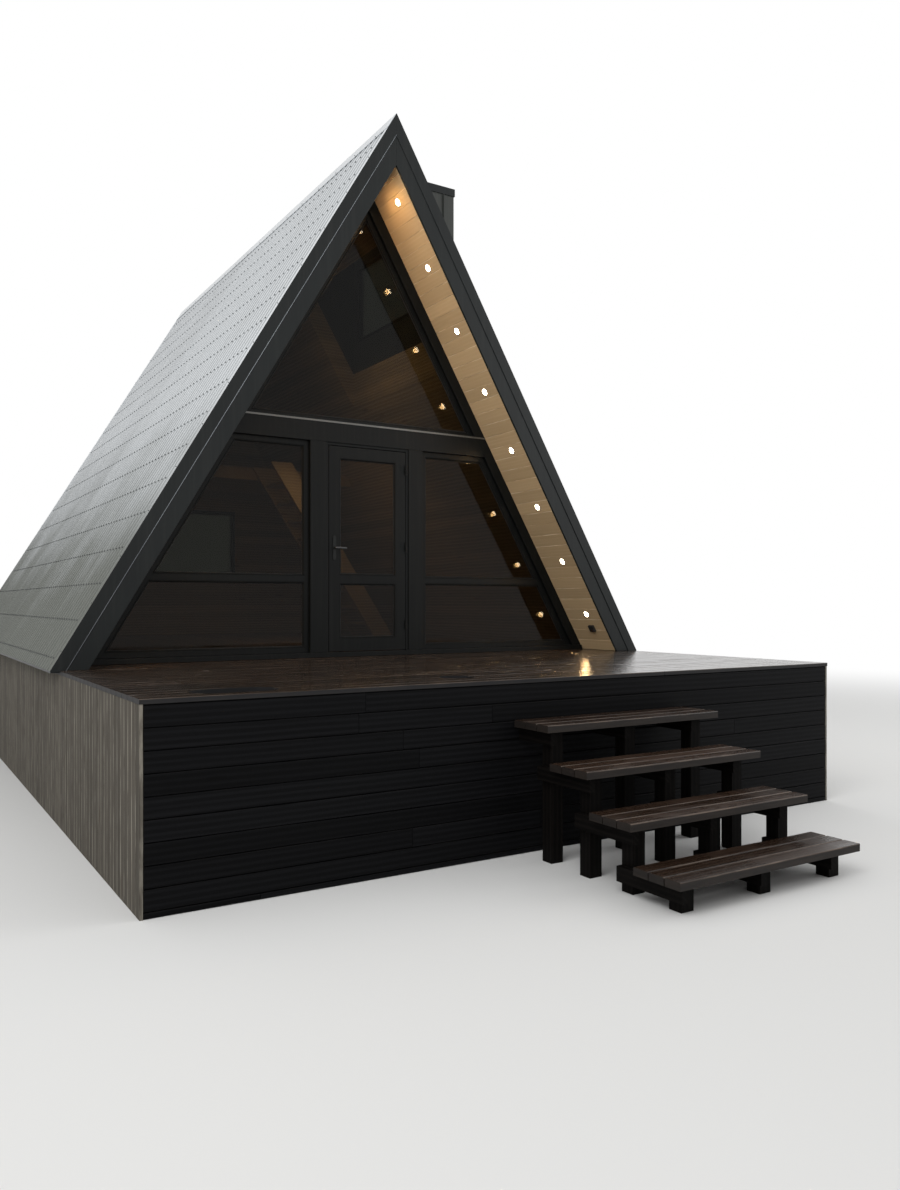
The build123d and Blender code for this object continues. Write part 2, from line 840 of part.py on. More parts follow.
stair_y = loft_y - stair_width
stair_climb = loft_top - floor_rise
stair_run = stair_foot - stair_top
stringer_reach = stringer_depth * math.hypot(stair_climb, stair_run) / stair_climb
stringer_outline = [
    (stair_foot, floor_rise),
    (stair_foot - stringer_reach, floor_rise),
    (stair_top - stringer_reach, loft_top),
    (stair_top, loft_top),
]
stair_parts = [
    upright(stringer_outline, stair_y, stringer_thickness),
    upright(stringer_outline, loft_y - stringer_thickness, stringer_thickness),
]
for number in range(1, stair_tread_count + 1):
    share = number / (stair_tread_count + 1)
    tread_x = stair_foot - stringer_reach / 2 - share * stair_run
    tread_z = deck_height + floor_rise + share * stair_climb
    stair_parts.append(block(
        (tread_x - stair_tread_depth / 2, tread_x + stair_tread_depth / 2),
        (
            stair_y + stringer_thickness + stair_tread_clearance,
            loft_y - stringer_thickness - stair_tread_clearance,
        ),
        (tread_z - stair_tread_thickness, tread_z),
    ))
save(joined(*stair_parts), "loft_stair")
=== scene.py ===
"""Looks of the a-frame cabin: its boards, beads, screws, light fittings, finishes, camera and light."""

import math
import random

import bpy
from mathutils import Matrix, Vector


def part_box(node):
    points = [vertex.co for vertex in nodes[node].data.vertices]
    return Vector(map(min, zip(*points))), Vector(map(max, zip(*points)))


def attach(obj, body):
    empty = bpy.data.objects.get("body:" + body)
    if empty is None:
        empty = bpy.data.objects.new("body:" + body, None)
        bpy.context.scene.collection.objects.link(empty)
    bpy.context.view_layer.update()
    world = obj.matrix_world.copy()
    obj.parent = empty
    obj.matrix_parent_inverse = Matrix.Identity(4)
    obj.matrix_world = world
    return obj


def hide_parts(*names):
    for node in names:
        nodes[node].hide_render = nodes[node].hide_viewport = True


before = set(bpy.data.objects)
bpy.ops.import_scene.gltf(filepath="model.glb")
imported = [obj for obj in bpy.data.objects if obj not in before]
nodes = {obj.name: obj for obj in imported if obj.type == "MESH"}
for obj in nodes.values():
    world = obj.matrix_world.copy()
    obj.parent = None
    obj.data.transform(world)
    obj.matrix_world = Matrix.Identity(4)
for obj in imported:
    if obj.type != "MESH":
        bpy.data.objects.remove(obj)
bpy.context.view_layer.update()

# Places read from the frame, in metres
deck_low, deck_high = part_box("terrace_deck")
deck_z = deck_high.z
boards_low_z = deck_low.z
front_y = deck_low.y
glass_y = deck_high.y
half_width = deck_high.x
sheet_low, sheet_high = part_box("roof_sheet_left")
roof_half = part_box("eave_trim")[1].x
slope_rise = sheet_high.z - deck_z
slope = math.atan2(slope_rise, roof_half)
slope_length = math.hypot(slope_rise, roof_half)
rake_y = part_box("verges")[0].y
back_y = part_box("verges")[1].y
back_wall_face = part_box("back_wall")[1].y

# Sizes that the frame's roof was built with
panel_depth = 0.230
soffit_thickness = 0.020
soffit_depth = panel_depth + soffit_thickness
verge_thickness = 0.008
verge_cover = 0.100
fascia_thickness = 0.025
edge_strip_width = 0.075
edge_strip_thickness = 0.003
ridge_cap_thickness = 0.006
rib_pitch = 0.115
rib_count = 61
middle_y = (sheet_low.y + sheet_high.y) / 2
rib_places = [middle_y + rib_pitch * (number - (rib_count - 1) / 2) for number in range(rib_count)]
rib_reach = rib_pitch * (rib_count + 1) / 2
fold_place = 0.029

# Row of lights under each slope, from the foot up
light_first = 0.480
light_spacing = 0.685
light_count = 8
light_y = rake_y + 0.243
light_hole_radius = 0.0325

# Gap at a butt joint, and how far board faces stray from flat
joint_gap = 0.003
bowed = {"steps": 4, "wander": 0.0012}

# Directions
X = Vector((1, 0, 0))
Y = Vector((0, 1, 0))
Z = Vector((0, 0, 1))
sides = {"left": -1, "right": 1}


def slope_up(side):
    """Direction up one slope."""
    return Vector((-side * math.cos(slope), 0, math.sin(slope)))


def slope_out(side):
    """Direction straight out of one slope."""
    return Vector((side * math.sin(slope), 0, math.cos(slope)))


def on_slope(side, along, y, depth=0.0):
    """A point up one slope from the terrace's level, at a depth under the sheet's outer face."""
    foot = Vector((side * (roof_half - depth / math.sin(slope)), y, deck_z))
    return foot + slope_up(side) * along


def half_gable(height):
    """Half width between the soffits at a height above the terrace."""
    return roof_half - soffit_depth / math.sin(slope) - height / math.tan(slope)


def light_centres(side):
    """Centres of the lights on the face of one soffit."""
    return [on_slope(side, light_first + light_spacing * number, light_y, soffit_depth)
            for number in range(light_count)]


def new_object(name, data):
    """An object in the scene."""
    made = bpy.data.objects.new(name, data)
    bpy.context.scene.collection.objects.link(made)
    return made


def new_mesh(name, points, faces):
    """A mesh object of points and faces."""
    mesh = bpy.data.meshes.new(name)
    mesh.from_pydata([tuple(point) for point in points], [], faces)
    return new_object(name, mesh)


class Shapes:
    """Many solids gathered into one mesh, with each face's place along and across its board, and its tone."""

    def __init__(self, seed=0):
        self.random = random.Random(seed)
        self.points, self.faces, self.grain, self.spread, self.tones = [], [], [], [], []

    def face(self, corners, tone, grain=None, spread=None):
        """One face with its corners' grain and spread places."""
        nowhere = [(0.0, 0.0)] * len(corners)
        self.faces.append(corners)
        self.grain += grain or nowhere
        self.spread += spread or nowhere
        self.tones.append(tone)

    def board(self, profile, start, end, across, out, cut_start=None, cut_end=None, steps=1, wander=0.0):
        """A board of a profile of (across, out) points, from start to end or between two planes."""
        axis = (end - start).normalized()
        length = (end - start).length
        right_handed = axis.cross(across).dot(out) > 0
        count = len(profile)
        first = len(self.points)
        tone = self.random.random()
        shift = (self.random.uniform(0, 50), self.random.uniform(0, 50))
        half = max(abs(a) for a, o in profile)
        cuts = (cut_start or (start, axis), cut_end or (end, axis))
        walk = [0.0]
        for (a, o), (b, p) in zip(profile, profile[1:] + profile[:1]):
            walk.append(walk[-1] + math.hypot(b - a, p - o))
        for step in range(steps + 1):
            sway = across * self.random.uniform(-wander, wander) + out * self.random.uniform(-wander, 0)
            for a, o in profile:
                base = start + across * a + out * o
                near, far = (plane_distance(base, axis, cut) for cut in cuts)
                point = base + axis * (near + (far - near) * step / steps)
                self.points.append(point + sway if 0 < step < steps else point)
        way = 1 if right_handed else -1
        for step in range(steps):
            ring = first + step * count
            low, high = (shift[0] + length * number / steps for number in (step, step + 1))
            for index in range(count):
                after = (index + 1) % count
                corners = [ring + index, ring + after, ring + count + after, ring + count + index]
                v, w = shift[1] + walk[index], shift[1] + walk[index + 1]
                grain = [(low, v), (low, w), (high, w), (high, v)]
                a, b = profile[index][0], profile[after][0]
                spread = [(a, half), (b, half), (b, half), (a, half)]
                self.face(corners[::way], tone, grain[::way], spread[::way])
        for ring, way in ((first, -way), (first + steps * count, way)):
            corners = list(range(ring, ring + count))
            grain = [(shift[0] + a, shift[1] + o) for a, o in profile]
            self.face(corners[::way], tone, grain[::way], [(0.0, -1.0)] * count)

    def level_board(self, profile, low_x, high_x, y, z, across, out, **rest):
        """A board from one x to another."""
        self.board(profile, Vector((low_x, y, z)), Vector((high_x, y, z)), across, out, **rest)

    def lofted(self, rings, segments=20, turn=0.0):
        """A bar through rings of (centre, direction, level, half width, half height, squareness)."""
        tone = self.random.random()
        first = len(self.points)
        for centre, direction, level, wide, high, square in rings:
            across = level.cross(direction)
            for index in range(segments):
                angle = 2 * math.pi * index / segments + turn
                a, b = (math.copysign(abs(share) ** (2 / square), share)
                        for share in (math.cos(angle), math.sin(angle)))
                self.points.append(centre + across * a * wide + level * b * high)
        last = len(self.points) - segments
        for low in range(first, last, segments):
            for index in range(segments):
                after = (index + 1) % segments
                self.face([low + index, low + after, low + segments + after, low + segments + index], tone)
        self.face(list(range(first, first + segments))[::-1], tone)
        self.face(list(range(last, last + segments)), tone)

    def turned(self, profile, centre, axis, segments=16, turn=0.0):
        """A turned shape. The profile holds (radius, height along the axis) points from end to end."""
        helper = X if abs(axis.dot(X)) < 0.9 else Y
        level = axis.cross(axis.cross(helper).normalized())
        rings = [(centre + axis * height, axis, level, radius, radius, 2.0) for radius, height in profile]
        self.lofted(rings, segments, turn)

    def mitred(self, outline, profile, place):
        """A bead mitred round a closed outline, with a profile of (inset, depth) points."""
        corners = [Vector(point) for point in outline]
        if sum(corners[index - 1].cross(corner) for index, corner in enumerate(corners)) < 0:
            corners.reverse()
        count = len(corners)
        rows = len(profile)
        first = len(self.points)
        tone = self.random.random()
        for index, corner in enumerate(corners):
            before = (corner - corners[index - 1]).normalized()
            after = (corners[(index + 1) % count] - corner).normalized()
            inward = [Vector((-along.y, along.x)) for along in (before, after)]
            miter = (inward[0] + inward[1]) / (1 + inward[0].dot(inward[1]))
            for inset, depth in profile:
                spot = corner + miter * inset
                self.points.append(place(spot.x, spot.y, depth))
        one, two, deeper = (place(*step) - place(0, 0, 0) for step in ((1, 0, 0), (0, 1, 0), (0, 0, 1)))
        way = -1 if one.cross(two).dot(deeper) > 0 else 1
        for index in range(count):
            here, there = (first + number % count * rows for number in (index, index + 1))
            for row in range(rows):
                down = (row + 1) % rows
                self.face([here + row, there + row, there + down, here + down][::way], tone)

    def piece(self, name, finish, slot, replaces=(), body="cabin", smooth=None):
        """The gathered solids as one object that rides on a body."""
        made = new_mesh(name, self.points, self.faces)
        mesh = made.data
        for layer_name, values in (("grain", self.grain), ("spread", self.spread)):
            layer = mesh.uv_layers.new(name=layer_name)
            layer.data.foreach_set("uv", [number for pair in values for number in pair])
        mesh.attributes.new("tone", "FLOAT", "FACE").data.foreach_set("value", self.tones)
        mesh.materials.append(finishes[finish])
        mesh.validate()
        if smooth is not None:
            mesh.shade_smooth()
            mesh.set_sharp_from_angle(angle=math.radians(smooth))
        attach(made, body)
        if replaces:
            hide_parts(*replaces)
        return made


def plane_distance(base, axis, plane):
    """How far along an axis from a base point a plane (point, normal) is met."""
    point, normal = plane
    return (point - base).dot(normal) / axis.dot(normal)


def eased(width, thickness, ease=0.004):
    """Profile of a board with eased edges: its outer face at 0, its back at -thickness."""
    half = width / 2
    return [
        (-half, -thickness), (half, -thickness), (half, -ease), (half - ease * 0.35, -ease * 0.3),
        (half - ease, 0), (-half + ease, 0), (-half + ease * 0.35, -ease * 0.3), (-half, -ease),
    ]


def grooved(width, thickness, ease, grooves=0, groove_width=0.0, groove_depth=0.0):
    """Profile of a board with cut arrises, and with grooves along its outer face."""
    half = width / 2
    profile = [(-half, -thickness), (half, -thickness), (half, -ease), (half - ease, 0)]
    spacing = width / (grooves + 1)
    for number in range(grooves):
        centre = half - spacing * (number + 1)
        profile += [
            (centre + groove_width / 2, 0), (centre + groove_width / 3, -groove_depth),
            (centre - groove_width / 3, -groove_depth), (centre - groove_width / 2, 0),
        ]
    return profile + [(-half + ease, 0), (-half, -ease)]


def cut_away(piece, cutters):
    """Takes closed shapes out of a piece."""
    for cutter in cutters:
        modifier = piece.modifiers.new("cut", "BOOLEAN")
        modifier.object = cutter
        modifier.operation = "DIFFERENCE"
        modifier.solver = "EXACT"
    bpy.context.view_layer.update()
    graph = bpy.context.evaluated_depsgraph_get()
    piece.data = bpy.data.meshes.new_from_object(piece.evaluated_get(graph))
    piece.modifiers.clear()
    for cutter in cutters:
        bpy.data.objects.remove(cutter)


def level_place(x, y, z):
    """A point from a level outline and a height."""
    return Vector((x, y, z))


def cutter_prism(outline, low, high, place=level_place):
    """A closed prism over an outline between two depths, for cutting."""
    count = len(outline)
    faces = [list(range(count))[::-1], list(range(count, 2 * count))]
    for index in range(count):
        after = (index + 1) % count
        faces.append([index, after, count + after, count + index])
    return new_mesh("cutter", [place(x, z, depth) for depth in (low, high) for x, z in outline], faces)


cutter_reach = 20.0


def cutter_block(low_x, high_x, low_z, high_z):
    """A block that passes the cabin at both ends, for cutting."""
    outline = [(low_x, -cutter_reach), (high_x, -cutter_reach), (high_x, cutter_reach), (low_x, cutter_reach)]
    return cutter_prism(outline, low_z, high_z)


def round_cutter(centre, axis, radius, reach):
    """A closed cylinder through a point, for cutting."""
    shapes = Shapes()
    shapes.turned([(radius, -reach), (radius, reach)], centre, axis, 24)
    return new_mesh("cutter", shapes.points, shapes.faces)


def upright_place(y, inward):
    """Maps x, z and a depth inwards to a point of an upright wall across the cabin."""
    return lambda x, z, depth: Vector((x, y + inward * depth, z))


class Nodes:
    """A node tree being put together. Each step adds a node and returns what comes out of it."""

    def __init__(self, tree):
        self.tree = tree

    def join(self, socket, value):
        """Puts a number or colour on a socket, or links another node's output to it."""
        if isinstance(value, bpy.types.NodeSocket):
            self.tree.links.new(value, socket)
        elif isinstance(value, tuple):
            socket.default_value = (*value, 1.0)[:len(socket.default_value)]
        else:
            socket.default_value = value

    def node(self, kind, inputs=(), **settings):
        """A new node with its settings and its inputs, in order or by name."""
        made = self.tree.nodes.new("ShaderNode" + kind)
        for key, value in settings.items():
            setattr(made, key, value)
        for key, value in inputs.items() if isinstance(inputs, dict) else enumerate(inputs):
            self.join(made.inputs[key], value)
        return made

    def split(self, place):
        """The three numbers of a vector."""
        return tuple(self.node("SeparateXYZ", [place]).outputs)

    def object_place(self):
        """The place in the piece's own coordinates, in metres."""
        return self.node("TexCoord").outputs["Object"]

    def sum(self, operation, first, second=0.0, third=0.0):
        """One step of arithmetic."""
        return self.node("Math", (first, second, third), operation=operation).outputs[0]

    def scaled(self, number, factor, added=0.0):
        """A number times a factor, with something added."""
        return self.sum("MULTIPLY_ADD", number, factor, added)

    def apart(self, first, second):
        """The distance between two numbers."""
        return self.sum("ABSOLUTE", self.sum("SUBTRACT", first, second))

    def vector(self, x, y, z=0.0):
        """Three numbers as one vector."""
        return self.node("CombineXYZ", (x, y, z)).outputs[0]

    def stretched(self, place, stretch):
        """A place with each of its numbers times a factor of its own."""
        return self.node("VectorMath", (place, stretch), operation="MULTIPLY").outputs[0]

    def noise(self, place, stretch=None, scale=1.0, detail=3.0, roughness=0.55):
        """Cloudy noise from 0 to 1."""
        if stretch:
            place = self.stretched(place, stretch)
        inputs = {"Vector": place, "Scale": scale, "Detail": detail, "Roughness": roughness}
        return self.node("TexNoise", inputs, noise_dimensions="3D").outputs[0]

    def chance(self, number):
        """A random number from 0 to 1 for each different number."""
        return self.node("TexWhiteNoise", {"Vector": self.vector(number, 0.0)},
                         noise_dimensions="2D").outputs["Value"]

    def ramp(self, value, low, high, to_low=0.0, to_high=1.0):
        """A value between two limits, smoothed and clamped."""
        inputs = {"Value": value, "From Min": low, "From Max": high, "To Min": to_low, "To Max": to_high}
        return self.node("MapRange", inputs, interpolation_type="SMOOTHSTEP", clamp=True).outputs[0]

    def mix(self, share, first, second, blend="MIX"):
        """A mix of two colours."""
        made = self.node("Mix", data_type="RGBA", blend_type=blend)
        used = [socket for socket in made.inputs if socket.enabled]
        for socket, value in zip(used, (share, first, second)):
            self.join(socket, value)
        return next(socket for socket in made.outputs if socket.enabled)

    def grey(self, number, low, high):
        """A grey from a number from 0 to 1, between two levels."""
        level = self.ramp(number, 0.0, 1.0, low, high)
        return self.node("CombineColor", (level, level, level)).outputs[0]

    def bump(self, height, distance, normal=None):
        """Small relief of a height in metres, on top of a normal where one is given."""
        made = self.node("Bump", {"Strength": 1.0, "Distance": distance, "Height": height})
        if normal:
            self.join(made.inputs["Normal"], normal)
        return made.outputs[0]


class Finish(Nodes):
    """A material being put together, and kept under its name."""

    def __init__(self, name):
        material = bpy.data.materials.new(name + "_finish")
        material.use_nodes = True
        super().__init__(material.node_tree)
        self.shader = self.tree.nodes["Principled BSDF"]
        finishes[name] = material

    def set(self, **values):
        """Sets the shader's own sockets, by their names in lower case."""
        for socket in self.shader.inputs:
            key = socket.name.lower().replace(" ", "_")
            if key in values:
                self.join(socket, values[key])

    def linked(self, name):
        """What is linked to one of the shader's sockets."""
        return self.shader.inputs[name].links[0].from_socket


# Every finish by its name, how far a board's tone moves its pattern, and what a wood's look says by default
finishes = {}
tone_shift = 37.0
plain_look = {
    "drift": 1.6, "knots": 0.3, "ring_share": 0.35, "fibre": 0.3, "tones": 0.3, "worn_width": 0.010,
    "worn_share": 0.7, "bare": 0.3, "rough": 0.5, "dry_share": 0.40, "wet_rough": 0.12, "relief": 0.0006,
    "specular": 0.4,
}


def wood_grain(wood, along, across, third, tone, edge, look):
    """Wood with growth lines, fibres, knots, wet patches, and pale edges and patches that are wear and, on
    some boards, a painted highlight. Where a look gives sides, upright faces are darkened as painted shade.
    Places are in metres.
    """
    rings_per_metre = 26.0
    look = {**plain_look, **look}
    place = wood.vector(along, across, third)
    drift = wood.noise(place, (0.5, 2.0, 1.0), detail=2)
    rings = wood.scaled(drift, look["drift"], wood.scaled(across, rings_per_metre))
    lines = wood.ramp(wood.sum("SINE", wood.scaled(rings, 2 * math.pi)), -0.6, 1.0)
    fibre = wood.noise(place, (7.0, 260.0, 1.0), detail=4, roughness=0.65)
    streak = wood.noise(place, (1.2, 42.0, 1.0), detail=4, roughness=0.6)
    knots = wood.node("TexVoronoi", {"Vector": wood.stretched(place, (1.5, 9.0, 1.0)), "Scale": 1.0},
                      voronoi_dimensions="3D").outputs
    rare = 1 - look["knots"]
    real = wood.ramp(wood.node("SeparateColor", [knots["Color"]]).outputs[0], rare, rare + 0.01)
    knot = wood.scaled(wood.ramp(knots["Distance"], 0.16, 0.05), real)
    grain = wood.scaled(lines, look["ring_share"], wood.scaled(streak, 0.65))
    base = wood.mix(wood.ramp(grain, 0.15, 0.85), look["dark"], look["light"])
    base = wood.mix(wood.ramp(fibre, 0.35, 0.7, 0.0, look["fibre"]), base, look["dark"])
    base = wood.mix(wood.scaled(knot, 0.8), base, look.get("knot", look["dark"]))
    base = wood.mix(1.0, base, wood.grey(tone, 1 - look["tones"], 1 + look["tones"] * 0.6), "MULTIPLY")
    # Pale edges and patches: wear, and on the soffit a painted highlight along the joints; on the terrace and
    # tread edges partly a painted highlight too
    if "worn" in look:
        worn = wood.noise(place, (4.0, 26.0, 1.0), detail=5)
        share = wood.scaled(wood.ramp(edge, look["worn_width"], 0.0), wood.ramp(worn, 0.40, 0.62))
        share = wood.sum("MAXIMUM", share, wood.ramp(worn, 0.60, 0.76, 0.0, look["bare"]))
        base = wood.mix(wood.scaled(share, look["worn_share"]), base, look["worn"])
    rough = wood.scaled(fibre, 0.18, look["rough"] - 0.05)
    if "wet" in look:
        film = wood.noise(place, (1.6, 3.2, 0.2), detail=4, roughness=0.6)
        wet = wood.ramp(film, look["dry_share"], look["dry_share"] + 0.14, 0.35, look["wet"])
        base = wood.mix(wet, base, wood.mix(1.0, base, (0.62, 0.60, 0.58), "MULTIPLY"))
        rough = wood.scaled(wet, look["wet_rough"] - look["rough"], rough)
        rough = wood.sum("MAXIMUM", rough, look["wet_rough"])
    # Upright faces, such as the boards' sides and front edges, take the sides colour: painted shade between
    # and under the boards
    if "sides" in look:
        facing = wood.split(wood.node("NewGeometry").outputs["True Normal"])
        upright = wood.ramp(wood.sum("ABSOLUTE", facing[2]), 0.5, 0.2)
        base = wood.mix(wood.scaled(upright, 0.92), base, look["sides"])
        rough = wood.sum("MAXIMUM", rough, wood.scaled(upright, 0.6))
    relief = wood.bump(wood.scaled(lines, 0.35, fibre), look["relief"])
    wood.set(base_color=base, roughness=rough, normal=relief, specular_ior_level=look["specular"])


def board_wood(name, **look):
    """Wood for the boards that are modelled one by one."""
    wood = Finish(name)
    (along, across), (place, half) = (wood.split(wood.node("UVMap", uv_map=layer).outputs[0])[:2]
                                      for layer in ("grain", "spread"))
    tone = wood.node("Attribute", attribute_name="tone").outputs["Fac"]
    edge = wood.sum("MAXIMUM", wood.sum("SUBTRACT", half, wood.sum("ABSOLUTE", place)), 0.0)
    wood_grain(wood, along, across, wood.scaled(tone, tone_shift), tone, edge, look)


def timber_wood(name, along_axis, **look):
    """Wood for plain timbers of the frame, whose grain runs along one axis."""
    wood = Finish(name)
    places = dict(zip("xyz", wood.split(wood.object_place())))
    along = places.pop(along_axis)
    one, two = places.values()
    third = wood.scaled(wood.sum("SUBTRACT", one, two), 0.6)
    tone = wood.noise(wood.vector(one, two), scale=1.5, detail=0)
    wood_grain(wood, along, wood.sum("ADD", one, two), third, tone, 1.0, look)


def plank_wood(name, along_axis, across_axis, pitch, outside=None, outside_from=0.0, **look):
    """Wood with the joints of tongued boards, for plain surfaces of the frame."""
    groove_half = 0.003
    groove_depth = 0.002
    wood = Finish(name)
    places = dict(zip("xyz", wood.split(wood.object_place())))
    across = places[across_axis]
    count = wood.sum("DIVIDE", across, pitch)
    tone = wood.chance(wood.sum("FLOOR", count))
    inside = wood.scaled(wood.apart(wood.sum("FRACT", count), 0.5), pitch)
    edge = wood.sum("SUBTRACT", pitch / 2, inside)
    shifted = wood.scaled(tone, 31.0, places[along_axis])
    wood_grain(wood, shifted, across, wood.scaled(tone, tone_shift), tone, edge, look)
    wood.set(normal=wood.bump(wood.ramp(edge, 0.0, groove_half), groove_depth, wood.linked("Normal")))
    # Past outside_from in y the colour is multiplied darker by the outside colour; on the floor this is
    # painted shade on its part beyond the back wall
    if outside:
        inner = wood.linked("Base Color")
        share = wood.ramp(places["y"], outside_from - 0.001, outside_from)
        wood.set(base_color=wood.mix(share, inner, wood.mix(1.0, inner, outside, "MULTIPLY")))


def painted_metal(name, base, rough=0.42, metallic=0.0, streaks=0.05, specular=0.5):
    """Paint on metal: slight clouds of tone, rain streaks down the piece and a fine orange peel."""
    peel_height = 0.00002
    paint = Finish(name)
    place = paint.object_place()
    cloud = paint.noise(place, scale=1.3, detail=5)
    streak = paint.noise(place, (28.0, 28.0, 0.9), detail=4)
    fine = paint.noise(place, scale=60.0)
    peel = paint.noise(place, scale=420.0, detail=2)
    dusty = paint.mix(0.5, base, (0.30, 0.29, 0.26))
    darker = paint.mix(1.0, base, (0.80, 0.80, 0.82), "MULTIPLY")
    share = paint.scaled(paint.ramp(streak, 0.45, 0.75), streaks)
    shade = paint.mix(share, paint.mix(paint.ramp(cloud, 0.3, 0.7), darker, base), dusty)
    roughness = paint.scaled(share, 0.5, paint.scaled(fine, 0.10, rough - 0.05))
    paint.set(base_color=shade, roughness=roughness, metallic=metallic, specular_ior_level=specular,
              normal=paint.bump(peel, peel_height))


def sheet_metal(name, high_tone, foot_grime_and_painted_reflection):
    """The roof's coated sheet: rain marks down the slope, and darker, duller and greener towards its foot,
    which is partly grime and partly a painted reflection of dark surroundings.
    """
    sheet_width = 10 * rib_pitch
    pattern_start = rib_places[0] - 20.5 * rib_pitch
    dimple_depth = 0.0012
    grime_and_painted_reflection_below = deck_z + 1.9
    clear_of_grime_and_painted_reflection_above = deck_z + 4.6
    sheet = Finish(name)
    place = sheet.object_place()
    x, y, z = sheet.split(place)
    turned = sheet.vector(y, z, x)
    runs = sheet.noise(turned, (38.0, 0.8, 0.8), detail=5, roughness=0.65)
    cloud = sheet.noise(place, scale=0.9, detail=6, roughness=0.6)
    height = sheet.scaled(cloud, 1.8, sheet.scaled(runs, 1.4, z))
    # Towards the foot the colour goes to the dark foot tone: partly grime, partly a painted reflection of
    # dark surroundings
    clear_of_grime_and_painted_reflection = sheet.ramp(height, grime_and_painted_reflection_below, clear_of_grime_and_painted_reflection_above)
    base = sheet.mix(clear_of_grime_and_painted_reflection, foot_grime_and_painted_reflection, high_tone)
    panel = sheet.chance(sheet.sum("FLOOR", sheet.sum("DIVIDE", y, sheet_width)))
    shade = sheet.mix(1.0, base, sheet.grey(panel, 0.93, 1.03), "MULTIPLY")
    shade = sheet.mix(sheet.ramp(runs, 0.50, 0.80, 0.0, 0.40), shade, (0.26, 0.27, 0.24))
    from_start = sheet.sum("SUBTRACT", y, pattern_start)
    turn = sheet.sum("FRACT", sheet.sum("DIVIDE", from_start, rib_pitch))
    from_rib = sheet.scaled(sheet.apart(turn, 0.5), rib_pitch)
    fold = sheet.ramp(sheet.apart(from_rib, fold_place), 0.012, 0.002)
    trough = sheet.ramp(from_rib, fold_place, fold_place + 0.004)
    on_ribs = sheet.ramp(sheet.apart(y, middle_y), rib_reach, rib_reach - 0.001)
    # Darker lines at the rib folds are painted shade in the creases; the darker troughs are grime
    fold_shade_and_trough_grime = sheet.scaled(trough, 0.14, sheet.scaled(fold, 0.45))
    shade = sheet.mix(sheet.scaled(fold_shade_and_trough_grime, on_ribs), shade, (0.15, 0.16, 0.15))
    rough = sheet.scaled(clear_of_grime_and_painted_reflection, -0.36, 0.50)
    for marks in (cloud, runs):
        rough = sheet.scaled(marks, 0.10, rough)
    dimple = sheet.noise(turned, (2.0, 6.0, 1.0), detail=2)
    sheet.set(base_color=shade, roughness=rough, metallic=0.15, normal=sheet.bump(dimple, dimple_depth))


def pane_glass(name, tint, dusty):
    """Glass tinted dark, the tint being painted shade for the dim room behind it, slightly wavy, with faint
    streaks of dried rain.
    """
    glass = Finish(name)
    place = glass.object_place()
    spots = glass.noise(place, scale=34.0, detail=4, roughness=0.7)
    smear = glass.noise(place, (3.0, 3.0, 0.7), detail=4)
    share = glass.scaled(glass.ramp(spots, 0.55, 0.8), glass.ramp(smear, 0.40, 0.7))
    wave = glass.noise(place, scale=1.6, detail=1)
    glass.set(base_color=glass.mix(share, tint, dusty), roughness=0.0, transmission_weight=1.0, ior=1.22,
              normal=glass.bump(wave, 0.001))


def glowing(name, base, glow, strength):
    """A lamp's grainy diffuser."""
    lens = Finish(name)
    grain = lens.noise(lens.object_place(), scale=160.0, detail=2)
    shade = lens.mix(lens.ramp(grain, 0.3, 0.7), base, lens.mix(0.3, base, (1.0, 1.0, 1.0)))
    lens.set(base_color=shade, roughness=0.3, emission_color=glow, emission_strength=strength)


# Finishes, in linear colours
varnished = {"dark": (0.40, 0.25, 0.13), "light": (0.66, 0.47, 0.28), "knot": (0.22, 0.11, 0.05),
             "rough": 0.42, "tones": 0.16}
# A dark stain, made darker still as painted shade for the posts and bearers under the treads
stain_and_painted_shade = {"dark": (0.0022, 0.0019, 0.0017), "light": (0.0062, 0.0051, 0.0045), "tones": 0.25, "rough": 0.6,
           "specular": 0.05}
# The terrace's and the treads' very dark sides colours are painted shade on the boards' upright faces
board_wood("terrace", dark=(0.026, 0.017, 0.012), light=(0.085, 0.060, 0.044), knot=(0.012, 0.008, 0.006),
           worn=(0.15, 0.12, 0.095), wet=0.95, dry_share=0.30, rough=0.34, wet_rough=0.09, relief=0.0005,
           tones=0.34, bare=0.10, specular=0.25, sides=(0.007, 0.0075, 0.009))
# The treads' pale board edges are wear and partly a painted highlight
board_wood("tread", dark=(0.022, 0.012, 0.008), light=(0.070, 0.041, 0.026), knot=(0.02, 0.012, 0.008),
           worn=(0.20, 0.145, 0.105), wet=0.85, rough=0.42, wet_rough=0.18, worn_width=0.014, worn_share=0.6,
           relief=0.0007, tones=0.28, bare=0.18, specular=0.28, sides=(0.008, 0.006, 0.005))
# A dark stain, made darker still as painted shade for the shaded skirt
board_wood("black", dark=(0.0025, 0.0026, 0.003), light=(0.0070, 0.0072, 0.0082), knot=(0.002, 0.002, 0.002),
           worn=(0.022, 0.020, 0.019), wet=0.3, rough=0.52, wet_rough=0.40, worn_width=0.004, worn_share=0.4,
           bare=0.08, drift=0.8, specular=0.06)
# The side boards' colours are their own grey made darker as painted shade
board_wood("weathered", dark=(0.056, 0.049, 0.040), light=(0.150, 0.135, 0.111), knot=(0.06, 0.045, 0.03),
           worn=(0.27, 0.25, 0.21), rough=0.7, relief=0.0007, tones=0.16, specular=0.2)
